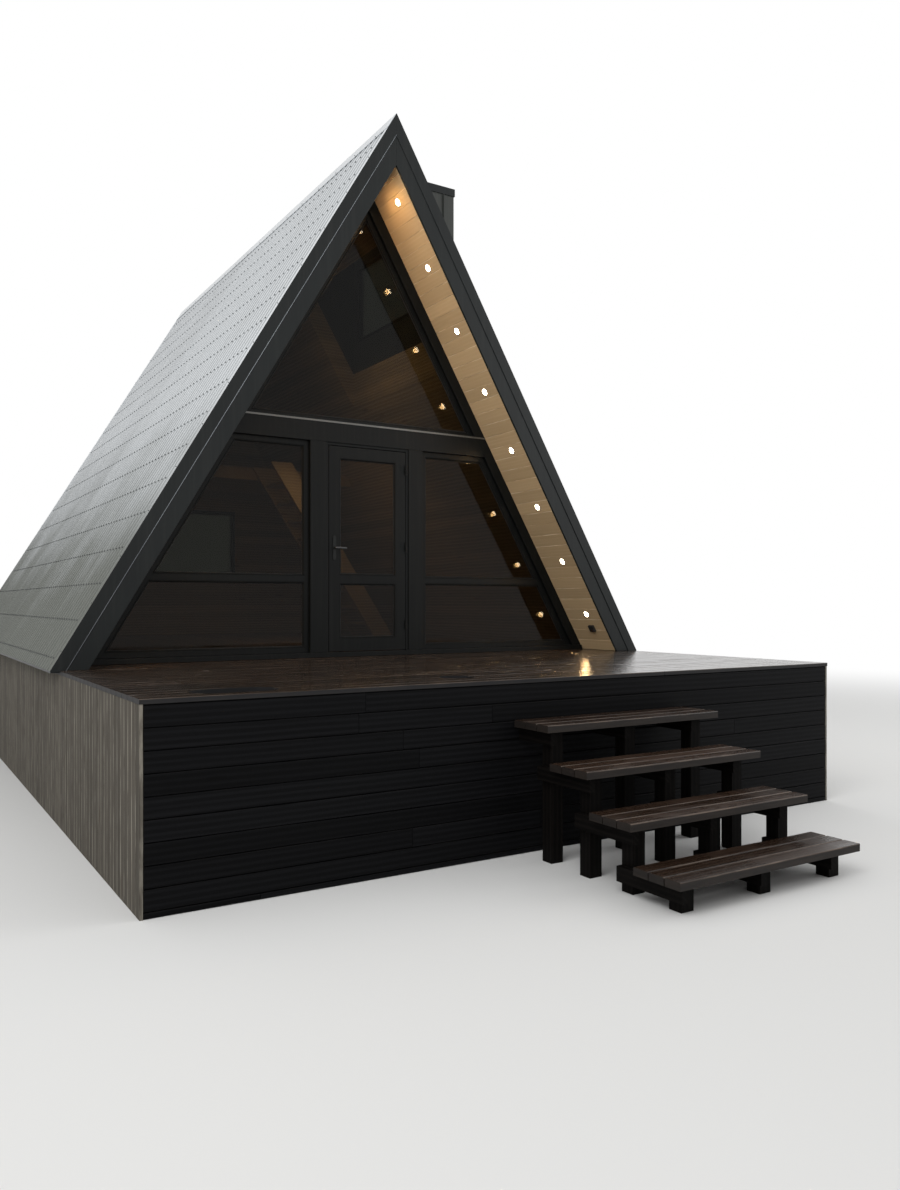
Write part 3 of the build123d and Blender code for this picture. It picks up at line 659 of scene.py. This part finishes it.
# The soffit's pale board edges are a painted highlight along its joints, not wear
board_wood("soffit", dark=(0.58, 0.43, 0.25), light=(0.66, 0.505, 0.31), knot=(0.42, 0.27, 0.14),
           worn=(0.90, 0.78, 0.58), worn_width=0.007, worn_share=0.95, bare=0.0, relief=0.00012,
           tones=0.10, knots=0.12, ring_share=0.12, fibre=0.08, specular=0.3)
timber_wood("framing", "y", dark=(0.24, 0.15, 0.08), light=(0.47, 0.33, 0.19), rough=0.7, tones=0.2)
timber_wood("dark_post", "z", **stain_and_painted_shade)
timber_wood("dark_bearer", "y", **stain_and_painted_shade)
timber_wood("stair", "x", **{**varnished, "rough": 0.38, "tones": 0.14})
# The floor's dark outside colour is painted shade on its part beyond the back wall
plank_wood("floor", "y", "x", 0.14, dark=(0.22, 0.13, 0.07), light=(0.44, 0.29, 0.17), rough=0.35, tones=0.2,
           outside=(0.08, 0.09, 0.11), outside_from=back_wall_face)
plank_wood("lining", "y", "z", 0.11, **varnished)
plank_wood("back_lining", "x", "z", 0.11, outside=(0.03, 0.038, 0.055), outside_from=back_wall_face - 0.075,
           **varnished)
plank_wood("loft", "x", "y", 0.12, **varnished)
# The roof's dark second tone, at its foot, is partly grime and partly a painted reflection of dark
# surroundings
sheet_metal("roof", (0.60, 0.63, 0.66), (0.080, 0.086, 0.069))
painted_metal("trim", (0.0095, 0.0115, 0.0115), streaks=0.03, specular=0.22)
# A pale glossy finish for the left verges' folded lip: a painted highlight
painted_metal("lip", (0.26, 0.28, 0.30), rough=0.25, metallic=0.7, streaks=0.03)
painted_metal("drip", (0.15, 0.15, 0.14), rough=0.35, metallic=0.6)
painted_metal("frame", (0.0058, 0.0066, 0.0066), streaks=0.02, specular=0.13)
painted_metal("dormer", (0.034, 0.037, 0.033), streaks=0.08, specular=0.3)
painted_metal("rubber", (0.012, 0.012, 0.012), rough=0.65, streaks=0.03, specular=0.3)
painted_metal("steel", (0.09, 0.09, 0.09), rough=0.34, metallic=1.0)
painted_metal("screw", (0.055, 0.058, 0.060), rough=0.45, metallic=0.3, streaks=0.15)
painted_metal("white_rim", (0.72, 0.69, 0.63), rough=0.35, streaks=0.04)
painted_metal("plastic", (0.020, 0.020, 0.021), rough=0.5)
# The panes' dark tints are painted shade that keeps the room behind them dim; the back and dormer panes are
# darker still
pane_glass("glass", (0.15, 0.152, 0.132), (0.22, 0.22, 0.20))
pane_glass("rear_glass", (0.045, 0.048, 0.040), (0.09, 0.09, 0.08))
glowing("lens", (0.9, 0.8, 0.65), (1.0, 0.82, 0.56), 30.0)

# Finishes of the frame's own nodes
frame_nodes = ["front_sill", "gable_frames", "transom_beam", "front_posts", "front_window_frames",
               "door_jambs", "door_head", "back_window_frames", "dormer_window_frame"]
finish_nodes = {
    "frame": frame_nodes + ["door_leaf", "door_hinges_fixed", "door_hinges_moving"],
    "trim": ["fascia_boards", "verges", "eave_trim", "dormer_roof", "handle_plates"],
    "roof": ["roof_sheet_left", "roof_sheet_right", "ridge_cap"],
    "lining": ["roof_panel_left", "roof_panel_right", "roof_linings"],
    "glass": ["front_window_glass", "door_glass"],
    "rear_glass": ["back_window_glass", "dormer_window_glass"],
    "dark_post": ["platform_posts", "step_posts"],
    "dark_bearer": ["step_bearers"], "framing": ["platform_beams"], "floor": ["cabin_floor"],
    "plastic": ["soffit_socket"], "back_lining": ["back_wall"], "dormer": ["dormer_walls"],
    "loft": ["loft_floor"], "stair": ["loft_stair"],
}
for finish_name, node_names in finish_nodes.items():
    for node_name in node_names:
        node_mesh = nodes[node_name].data
        node_mesh.materials.clear()
        node_mesh.materials.append(finishes[finish_name])

# Arrises of the frames are eased, so that they catch the light
for node_name in frame_nodes + ["fascia_boards", "step_posts", "loft_stair"]:
    joined = nodes[node_name].modifiers.new("joined", "WELD")
    joined.merge_threshold = 0.00001
    ease_arris = nodes[node_name].modifiers.new("eased", "BEVEL")
    ease_arris.width = 0.0025
    ease_arris.segments = 2
    ease_arris.limit_method = "ANGLE"


def hole_outlines():
    """The round and the long hole in the terrace, as the frame has them."""
    steps = 40
    outlines = []
    single = (-0.680, -3.7245, 0.130, 0.0, 0.0)
    pair = (-2.410, -3.8645, 0.150, 0.130, 0.5)
    for x, y, radius, reach, turn in (single, pair):
        points = []
        for step in range(steps):
            angle = 2 * math.pi * (step + turn) / steps
            end_x = x + math.copysign(reach, math.cos(angle))
            points.append((end_x + radius * math.cos(angle), y + radius * math.sin(angle)))
        outlines.append(points)
    return outlines


def terrace_boards():
    """Boards along the front, with butt joints on the beams, cut out for the two holes."""
    gap = 0.006
    pitch_wanted = 0.144
    depth = glass_y - front_y
    rows = round(depth / pitch_wanted)
    pitch = depth / rows
    bays = 6
    beams = [-half_width + 2 * half_width * bay / bays for bay in range(1, bays)]
    shapes = Shapes(seed=11)
    for row in range(rows):
        y = front_y + pitch * (row + 0.5)
        width = pitch - gap if 0 < row < rows - 1 else pitch - gap / 2
        profile = eased(width, deck_z - boards_low_z)
        stops = [-half_width] + sorted(shapes.random.sample(beams, 1 + row % 2)) + [half_width]
        for low, high in zip(stops, stops[1:]):
            first = low + (joint_gap / 2 if low > -half_width else 0)
            last = high - (joint_gap / 2 if high < half_width else 0)
            shapes.level_board(profile, first, last, y, deck_z, Y, Z, **bowed)
    piece = shapes.piece("terrace_boards", "terrace", "terrace_wood", ["terrace_deck"])
    past = 0.05
    cut_away(piece, [cutter_prism(outline, boards_low_z - past, deck_z + past)
                     for outline in hole_outlines()])


def rear_porch_boards():
    """Boards of the rear porch, laid on the floor between the slopes."""
    rows = 4
    gap = 0.006
    thickness = 0.014
    wall_cladding = 0.019
    low_y = back_wall_face + wall_cladding
    pitch = (back_y - low_y) / rows
    play = 0.004
    joint_reach = 1.2
    reach = half_gable(thickness) - play
    profile = eased(pitch - gap, thickness)
    shapes = Shapes(seed=15)
    for row in range(rows):
        y = low_y + pitch * (row + 0.5)
        joint = shapes.random.uniform(-joint_reach, joint_reach)
        for first, last in ((-reach, joint - joint_gap / 2), (joint + joint_gap / 2, reach)):
            shapes.level_board(profile, first, last, y, deck_z + thickness, Y, Z, **bowed)
    shapes.piece("rear_porch_boards", "terrace", "terrace_wood")


def skirt_rows(shapes, y, out, top, end):
    """Rows of boards across the platform, from a top level down to the ground."""
    pitch = 0.1305
    gap = 0.005
    thickness = 0.019
    ease = 0.005
    least_left = 0.002
    least_width = 0.02
    joint_reach = end - 0.6
    joints_apart = 0.8
    row = 0
    while top > least_left:
        low = max(top - pitch, 0.0)
        width = top - low - gap
        if width > least_width:
            joints = sorted(shapes.random.uniform(-joint_reach, joint_reach) for _ in range(1 + row % 2))
            if len(joints) == 2 and joints[1] - joints[0] < joints_apart:
                joints = joints[:1]
            stops = [-end] + joints + [end]
            for first, last in zip(stops, stops[1:]):
                shapes.level_board(eased(width, thickness, ease), first + joint_gap / 2, last - joint_gap / 2,
                                   y, (top + low) / 2, Z, out, **bowed)
        top = low
        row += 1


def end_skirt_boards():
    """Black boards across the front and the back of the platform, with a backing behind their gaps."""
    inset = 0.004
    under_deck = 0.006
    end = half_width - 0.025
    backing_half = 0.61
    backing_thickness = 0.0015
    backing_inset = 0.0195
    backing = [(-backing_half, -backing_thickness), (backing_half, -backing_thickness), (backing_half, 0.0),
               (-backing_half, 0.0)]
    shapes = Shapes(seed=21)
    for y, out in ((front_y + inset, -Y), (back_y - inset, Y)):
        skirt_rows(shapes, y, out, boards_low_z - under_deck, end)
        shapes.level_board(backing, -end, end, y - out.y * backing_inset, backing_half, Z, out)
    shapes.piece("end_skirt_boards", "black", "black_cladding", ["end_skirts"])


def side_skirt_boards():
    """Upright grooved boards down both sides of the platform."""
    gap = 0.008
    inset = 0.002
    pitch_wanted = 0.093
    length = back_y - front_y
    count = round(length / pitch_wanted)
    pitch = length / count
    profile = grooved(pitch - gap, 0.020, 0.003, grooves=4, groove_width=0.009, groove_depth=0.0035)
    shapes = Shapes(seed=31)
    for side in sides.values():
        for number in range(count):
            foot = Vector((side * (half_width - inset), front_y + pitch * (number + 0.5), 0.0))
            shapes.board(profile, foot, foot + Z * boards_low_z, Y, X * side, steps=2, wander=0.0010)
    shapes.piece("side_skirt_boards", "weathered", "weathered_cladding", ["side_skirts"])


def tread_boards():
    """Each tread is three boards on the posts, warped a little and kept within the frame's box."""
    tread_count = 4
    tread_depth = 0.385
    thickness = 0.050
    boards = 3
    gap = 0.008
    wander = 0.0015
    low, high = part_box("step_treads")
    going = (high.y - low.y - tread_depth) / (tread_count - 1)
    rise = (high.z - low.z - thickness) / (tread_count - 1)
    width = (tread_depth - 2 * wander - gap * (boards - 1)) / boards
    profile = eased(width, thickness, 0.006)
    shapes = Shapes(seed=41)
    for tread in range(tread_count):
        for number in range(boards):
            y = low.y + going * tread + wander + width / 2 + (width + gap) * number
            top = low.z + thickness + rise * tread
            shapes.level_board(profile, low.x, high.x, y, top, Y, Z, steps=5, wander=wander)
    shapes.piece("tread_boards", "tread", "step_wood", ["step_treads"])


def soffit_boards(name, side):
    """Soffit boards from the rakes to the gable walls, with the fittings' holes cut."""
    pitch = 0.137
    play = 0.0006
    groove = 0.004
    past_peak = 0.12
    past_face = 0.05
    inset = verge_thickness + fascia_thickness
    peak_along = slope_length - soffit_depth / math.tan(slope)
    profile = grooved(pitch - play, soffit_thickness, groove)
    shapes = Shapes(seed=51 + side)
    for low_y, high_y in ((rake_y + inset, glass_y), (back_wall_face, back_y - inset)):
        along = pitch / 2
        while along - pitch / 2 < peak_along + past_peak:
            start, end = (on_slope(side, along, y, soffit_depth) for y in (low_y, high_y))
            shapes.board(profile, start, end, slope_up(side), -slope_out(side))
            along += pitch
    piece = shapes.piece("soffit_boards_" + name, "soffit", "soffit_wood", ["soffit_" + name])
    past_middle = sorted((0.0, -side * cutter_reach))
    cutters = [cutter_block(*past_middle, -cutter_reach, cutter_reach),
               cutter_block(-cutter_reach, cutter_reach, deck_z - cutter_reach, deck_z)]
    for centre in light_centres(side):
        cutters.append(round_cutter(centre, slope_out(side), light_hole_radius, past_face))
    cut_away(piece, cutters)


def light_fittings():
    """A pressed rim and a glowing lens in each hole of the soffits."""
    rims = Shapes(seed=61)
    lenses = Shapes(seed=62)
    rim = [(0.0320, -0.018), (0.0320, 0.0), (0.0420, 0.0), (0.0420, 0.0020), (0.0405, 0.0036),
           (0.0375, 0.0040), (0.0340, 0.0026), (0.0325, 0.0005), (0.0315, -0.0100)]
    lens = [(0.0315, -0.0095), (0.0315, 0.0002), (0.0270, 0.0014), (0.0160, 0.0024), (0.0040, 0.0028)]
    for side in sides.values():
        for centre in light_centres(side):
            rims.turned(rim, centre, -slope_out(side), 32)
            lenses.turned(lens, centre, -slope_out(side), 32)
    rims.piece("light_rims", "white_rim", "light_white", ["soffit_lights"], smooth=35)
    lenses.piece("light_lenses", "lens", "light_white", smooth=35)


def under_dormer(side, spot):
    """Whether a spot on the roof is under or beside the dormer."""
    margin = 0.03
    low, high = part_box("dormer_walls")
    beside = low.y - margin < spot.y < high.y + margin
    return side > 0 and beside and spot.x < high.x + margin and spot.z > low.z


def roof_screws(name, side):
    """Screws with washers on the ribs, in rows across one roof sheet."""
    row_pitch = 0.355
    first_row = 0.11
    top_margin = 0.20
    washer = [(0.0105, 0.0), (0.0105, 0.0016), (0.0080, 0.0024)]
    head = [(0.0050, 0.0024), (0.0050, 0.0065), (0.0042, 0.0072)]
    shapes = Shapes(seed=71 + side)
    for row in range(int((slope_length - first_row - top_margin) / row_pitch) + 1):
        for y in rib_places:
            spot = on_slope(side, first_row + row * row_pitch, y)
            if not under_dormer(side, spot):
                shapes.turned(washer, spot, slope_out(side), 8)
                shapes.turned(head, spot, slope_out(side), 6, shapes.random.uniform(0, 1))
    shapes.piece("roof_screws_" + name, "screw", "roof_sheet", smooth=40)


def pane_outlines(node_name):
    """The outline of each upright pane of a node, as its x, z corners in order."""
    mesh = nodes[node_name].data
    places = [tuple(round(value, 5) for value in vertex.co) for vertex in mesh.vertices]
    panes = {place: {place} for place in places}
    for edge in mesh.edges:
        one, two = (panes[places[index]] for index in edge.vertices)
        if one is not two:
            one |= two
            panes.update((place, one) for place in two)
    outlines = []
    for pane in {id(pane): pane for pane in panes.values()}.values():
        corners = sorted({(x, z) for x, y, z in pane})
        centre_x, centre_z = (sum(values) / len(corners) for values in zip(*corners))
        outlines.append(sorted(corners, key=lambda p: math.atan2(p[1] - centre_z, p[0] - centre_x)))
    return sorted(outlines)


def glazing_beads(name, glass_node, frame_node, body, inward):
    """Sloped beads and gaskets from a frame's outer face down to its glass."""
    outer = 0 if inward > 0 else 1
    face_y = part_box(frame_node)[outer].y
    depth = abs(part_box(glass_node)[outer].y - face_y)
    seat = depth - 0.001
    high, low = depth - 0.0035, depth - 0.0003
    bead = [(0.0, 0.003), (0.003, 0.0005), (0.007, 0.0005), (0.016, seat), (0.0, seat)]
    gasket = [(0.014, high), (0.0185, high), (0.0205, low), (0.014, low)]
    beads = Shapes(seed=len(name))
    gaskets = Shapes(seed=len(name) + 1)
    for outline in pane_outlines(glass_node):
        for shapes, profile in ((beads, bead), (gaskets, gasket)):
            shapes.mitred(outline, profile, upright_place(face_y, inward))
    beads.piece(name + "_beads", "frame", "dark_frame", body=body)
    gaskets.piece(name + "_gaskets", "rubber", "dark_plastic", body=body)


def lever_handle():
    """The lever on each face of the door: a round neck that bends and flattens into the grip."""
    neck_radius = 0.009
    spindle_radius = 0.005
    play = 0.0004
    bend = 0.016
    bend_steps = 8
    tip_start = 0.92
    grip_shares = [0.25, 0.5, 0.75, 0.92, 0.94, 0.96, 0.975, 0.987, 0.995, 1.0]
    grip_height = 0.010
    grip_thickness = 0.006
    taper = 0.14
    tip_share = 0.25
    leaf_low, leaf_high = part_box("door_leaf")
    plate_low, plate_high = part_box("handle_plates")
    lever_low, lever_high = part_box("door_handle")
    axis_x = (plate_low.x + plate_high.x) / 2
    axis_z = (plate_low.z + plate_high.z) / 2
    shapes = Shapes(seed=121)
    for face_y, edge_y, out in ((leaf_low.y, lever_low.y, -Y), (leaf_high.y, lever_high.y, Y)):
        stand = abs(edge_y - face_y) - grip_thickness
        axis = Vector((axis_x, face_y, axis_z))
        rings = [(axis + out * play, out, Z, neck_radius, neck_radius, 2.0)]
        for step in range(bend_steps + 1):
            share = step / bend_steps
            turn = share * math.pi / 2
            centre = axis + out * (stand - bend + bend * math.sin(turn)) + X * bend * (1 - math.cos(turn))
            direction = out * math.cos(turn) + X * math.sin(turn)
            width = neck_radius + (grip_thickness - neck_radius) * share
            height = neck_radius + (grip_height - neck_radius) * share
            rings.append((centre, direction, Z, width, height, 2.0 + share))
        start = rings[-1][0]
        reach = lever_high.x - start.x
        for share in grip_shares:
            rounded = math.sqrt(1 - max(0.0, (share - tip_start) / (1 - tip_start)) ** 2)
            slim = (1 - taper * share) * (tip_share + (1 - tip_share) * rounded)
            rings.append((start + X * reach * share, X, Z, grip_thickness * slim, grip_height * slim, 3.0))
        shapes.lofted(rings)
    shapes.turned([(spindle_radius, leaf_low.y - play), (spindle_radius, leaf_high.y + play)],
                  Vector((axis_x, 0, axis_z)), Y)
    shapes.piece("lever_handle", "steel", "handle_steel", ["door_handle"], body="handle", smooth=50)


def window_outlines():
    """The openings of the back windows: each pane's outline grown by the frame's width."""
    frame_width = 0.050
    grown = []
    for outline in pane_outlines("back_window_glass"):
        xs, zs = zip(*outline)
        low_x, high_x = min(xs) - frame_width, max(xs) + frame_width
        low_z, high_z = min(zs) - frame_width, max(zs) + frame_width
        grown.append([(low_x, low_z), (high_x, low_z), (high_x, high_z), (low_x, high_z)])
    return grown


def back_wall_boards():
    """Boards of the back wall, cut along the slopes and round the windows, and the windows' casings."""
    pitch = 0.145
    thickness = 0.018
    gap = 0.005
    slope_cuts = {end: (on_slope(side, 0, 0, soffit_depth), slope_out(side))
                  for end, side in (("cut_start", -1), ("cut_end", 1))}
    least_row = 0.02
    least_width = 0.01
    play = 0.004
    past = 0.10
    top_level = half_gable(0) * math.tan(slope)
    level = 0.0
    shapes = Shapes(seed=81)
    while level < top_level - least_row:
        high = min(level + pitch, top_level - play)
        middle = (level + high) / 2
        width = high - level - gap
        reach = half_gable(middle)
        if width > least_width and reach > 0.0:
            shapes.level_board(eased(width, thickness), -reach, reach, back_wall_face + thickness,
                               deck_z + middle, Z, Y, **slope_cuts)
        level = high
    piece = shapes.piece("back_wall_boards", "black", "black_cladding")
    casing = [(-0.085, 0.0), (-0.085, -0.026), (-0.004, -0.026), (0.0, -0.022), (0.0, 0.0)]
    casings = Shapes(seed=82)
    place = upright_place(back_wall_face, -1)
    for outline in window_outlines():
        casings.mitred(outline, casing, place)
    cut_away(piece, [cutter_prism(outline, -past, past, place) for outline in window_outlines()])
    casings.piece("back_window_casings", "trim", "dark_trim")


def dormer_seams():
    """Standing seams on the dormer's cheeks and front."""
    low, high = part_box("dormer_walls")
    profile = [(-0.004, 0.0), (0.004, 0.0), (0.003, 0.018), (-0.003, 0.018)]
    into_sheet = 0.004
    slope_cut = (on_slope(1, 0, 0, into_sheet), slope_out(1))
    first = 0.18
    spacing = 0.30
    edge_margin = 0.03
    front_inset = 0.12
    places = []
    x = low.x + first
    while x < high.x - edge_margin:
        places += [(x, low.y, X, -Y), (x, high.y, X, Y)]
        x += spacing
    places += [(high.x, y, Y, X) for y in (low.y + front_inset, high.y - front_inset)]
    shapes = Shapes(seed=91)
    for x, y, across, out in places:
        shapes.board(profile, Vector((x, y, low.z)), Vector((x, y, high.z)), across, out, cut_start=slope_cut)
    shapes.piece("dormer_seams", "dormer", "dormer_sheet")


def transom_drip():
    """A folded drip flashing along the top of the transom."""
    low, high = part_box("transom_beam")
    play = 0.002
    reach = half_gable(high.z - deck_z) - play
    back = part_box("front_window_frames")[0].y - glass_y
    profile = [(back, 0.0), (back, 0.0015), (0.0, 0.0022), (-0.006, 0.0008), (-0.006, -0.016),
               (-0.0045, -0.016), (-0.0045, -0.001), (0.0, 0.0)]
    shapes = Shapes(seed=95)
    shapes.level_board(profile, -reach, reach, low.y, high.z, Y, Z)
    shapes.piece("transom_drip", "drip", "dark_trim")


def verge_lips(name, side):
    """The folded lip along the lower edge of the verges: pale and glossy on the left side as a painted
    highlight, in the dark trim paint on the right.
    """
    radius = 0.0065
    segments = 8
    turns = [2 * math.pi * step / segments for step in range(segments)]
    profile = [(radius * math.cos(turn), radius * math.sin(turn)) for turn in turns]
    foot_plane = (Z * deck_z, Z)
    middle_plane = (Z * deck_z, X)
    shapes = Shapes(seed=101)
    for y, out in ((rake_y + radius, -Y), (back_y - radius, Y)):
        start, end = (on_slope(side, along, y, verge_cover) for along in (0, slope_length))
        shapes.board(profile, start, end, slope_out(side), out, cut_start=foot_plane, cut_end=middle_plane)
    # The left side's pale finish is a painted highlight
    shapes.piece("verge_lips_" + name, "lip" if side < 0 else "trim", "dark_trim", smooth=50)


def trim_screws():
    """Screws along the verges and the ridge cap."""
    head = [(0.0070, 0.0), (0.0070, 0.0010), (0.0045, 0.0014), (0.0045, 0.0042), (0.0036, 0.0048)]
    strip_middle = verge_thickness + edge_strip_width / 2
    first = 0.18
    spacing = 0.45
    top_margin = 0.2
    under_ridge = 0.125
    spots = []
    along = first
    while along < slope_length - top_margin:
        for side in sides.values():
            for y in (rake_y + strip_middle, back_y - strip_middle):
                spots.append((side, along, y, edge_strip_thickness))
        along += spacing
    for y in rib_places[1::4]:
        for side in sides.values():
            spots.append((side, slope_length - under_ridge, y, ridge_cap_thickness))
    shapes = Shapes(seed=111)
    for side, along, y, height in spots:
        shapes.turned(head, on_slope(side, along, y, -height), slope_out(side), 8)
    shapes.piece("trim_screws", "screw", "roof_sheet", smooth=40)


terrace_boards()
rear_porch_boards()
end_skirt_boards()
side_skirt_boards()
tread_boards()
for side_name, side_sign in sides.items():
    soffit_boards(side_name, side_sign)
    roof_screws(side_name, side_sign)
    verge_lips(side_name, side_sign)
light_fittings()
glazing_beads("front_window", "front_window_glass", "front_window_frames", "cabin", 1)
glazing_beads("door_pane", "door_glass", "door_leaf", "door", 1)
glazing_beads("back_window", "back_window_glass", "back_window_frames", "cabin", -1)
lever_handle()
back_wall_boards()
dormer_seams()
transom_drip()
trim_screws()


def stage_floor():
    """A pale floor that turns into a white background further out."""
    reach = 60.0
    pale_within = 8.0
    white_beyond = 20.0
    corners = [(-reach, -reach, 0), (reach, -reach, 0), (reach, reach, 0), (-reach, reach, 0)]
    made = new_mesh("stage_floor", corners, [(0, 1, 2, 3)])
    finish = Finish("stage_floor")
    finish.set(base_color=(0.78, 0.78, 0.77), roughness=0.9, specular_ior_level=0.1)
    x, y, z = finish.split(finish.object_place())
    distance = finish.sum("SQRT", finish.scaled(x, x, finish.scaled(y, y)))
    glow = finish.node("Emission", {"Color": (1.0, 1.0, 1.0)}).outputs[0]
    share = finish.ramp(distance, pale_within, white_beyond)
    blend = finish.node("MixShader", (share, finish.shader.outputs[0], glow)).outputs[0]
    finish.join(finish.tree.nodes["Material Output"].inputs["Surface"], blend)
    made.data.materials.append(finishes["stage_floor"])


def world_light(strength):
    """White to the eye, in reflections and through glass, softer as light."""
    world = bpy.data.worlds.new("studio")
    bpy.context.scene.world = world
    world.use_nodes = True
    studio = Nodes(world.node_tree)
    rays = studio.node("LightPath").outputs
    seen = studio.sum("MAXIMUM", rays["Is Camera Ray"], rays["Is Glossy Ray"])
    seen = studio.sum("MAXIMUM", seen, rays["Is Transmission Ray"])
    back = studio.tree.nodes["Background"]
    studio.join(back.inputs["Color"], (1.0, 1.0, 1.0))
    studio.join(back.inputs["Strength"], studio.scaled(seen, 1.0 - strength, strength))


def lamp(name, kind, place, direction, watts, tint, **settings):
    """A lamp at a place that shines in a direction."""
    data = bpy.data.lights.new(name, kind)
    data.energy = watts
    data.color = tint
    for key, value in settings.items():
        setattr(data, key, value)
    made = new_object(name, data)
    made.location = place
    made.rotation_euler = direction.to_track_quat("-Z", "Y").to_euler()
    return made


def area_lamp(name, place, target, size, watts, tint=(1, 1, 1), hidden=False):
    """A square lamp aimed at a target. A hidden one gives light and doesn't show."""
    made = lamp(name, "AREA", place, Vector(target) - Vector(place), watts, tint, shape="SQUARE", size=size)
    if hidden:
        made.visible_camera = made.visible_glossy = made.visible_transmission = False


def fitting_lamps(watts):
    """A warm spot in front of each light under the front eaves. The top pair are close and burn lower."""
    top_share = 0.6
    stand_off = 0.02
    for side_name, side in sides.items():
        inward = -slope_out(side)
        for number, centre in enumerate(light_centres(side)):
            share = top_share if number == light_count - 1 else 1.0
            lamp(f"fitting_{side_name}_{number}", "SPOT", centre + inward * stand_off, inward, watts * share,
                 (1.0, 0.58, 0.22), spot_size=math.radians(150), spot_blend=1.0, shadow_soft_size=0.03)


def picture_camera():
    """The camera fitted to the picture, whose height in pixels gives the lens and the shift."""
    image_height = 1190
    focal_pixels = 934.021
    raise_pixels = 7.967
    data = bpy.data.cameras.new("camera")
    data.sensor_width = 36.0
    data.lens = focal_pixels / image_height * data.sensor_width
    data.shift_y = raise_pixels / image_height
    data.clip_end = 200.0
    camera = new_object("camera", data)
    camera.location = (-4.345, -9.5085, 1.792)
    camera.rotation_euler = (math.radians(90), 0, math.radians(-31.936))
    bpy.context.scene.camera = camera


stage_floor()
world_light(0.62)
area_lamp("soft_key", (-9.0, -9.0, 11.0), (0, 0, 2.5), 10.0, 880.0)
area_lamp("soft_fill", (10.0, -7.0, 7.0), (0, 0, 2.5), 7.0, 260.0)
area_lamp("soft_back", (8.0, 16.0, 8.0), (0, 4.0, 2.5), 7.0, 420.0, hidden=True)
area_lamp("room_glow", (0.2, 1.0, 3.2), (0.9, 2.2, 1.6), 1.0, 9.0, (1.0, 0.74, 0.46), hidden=True)
area_lamp("loft_glow", (-0.2, 0.4, 4.6), (1.2, 0.4, 4.2), 0.6, 8.0, (1.0, 0.80, 0.50), hidden=True)
fitting_lamps(6.0)
picture_camera()
bpy.context.scene.view_settings.view_transform = "Standard"
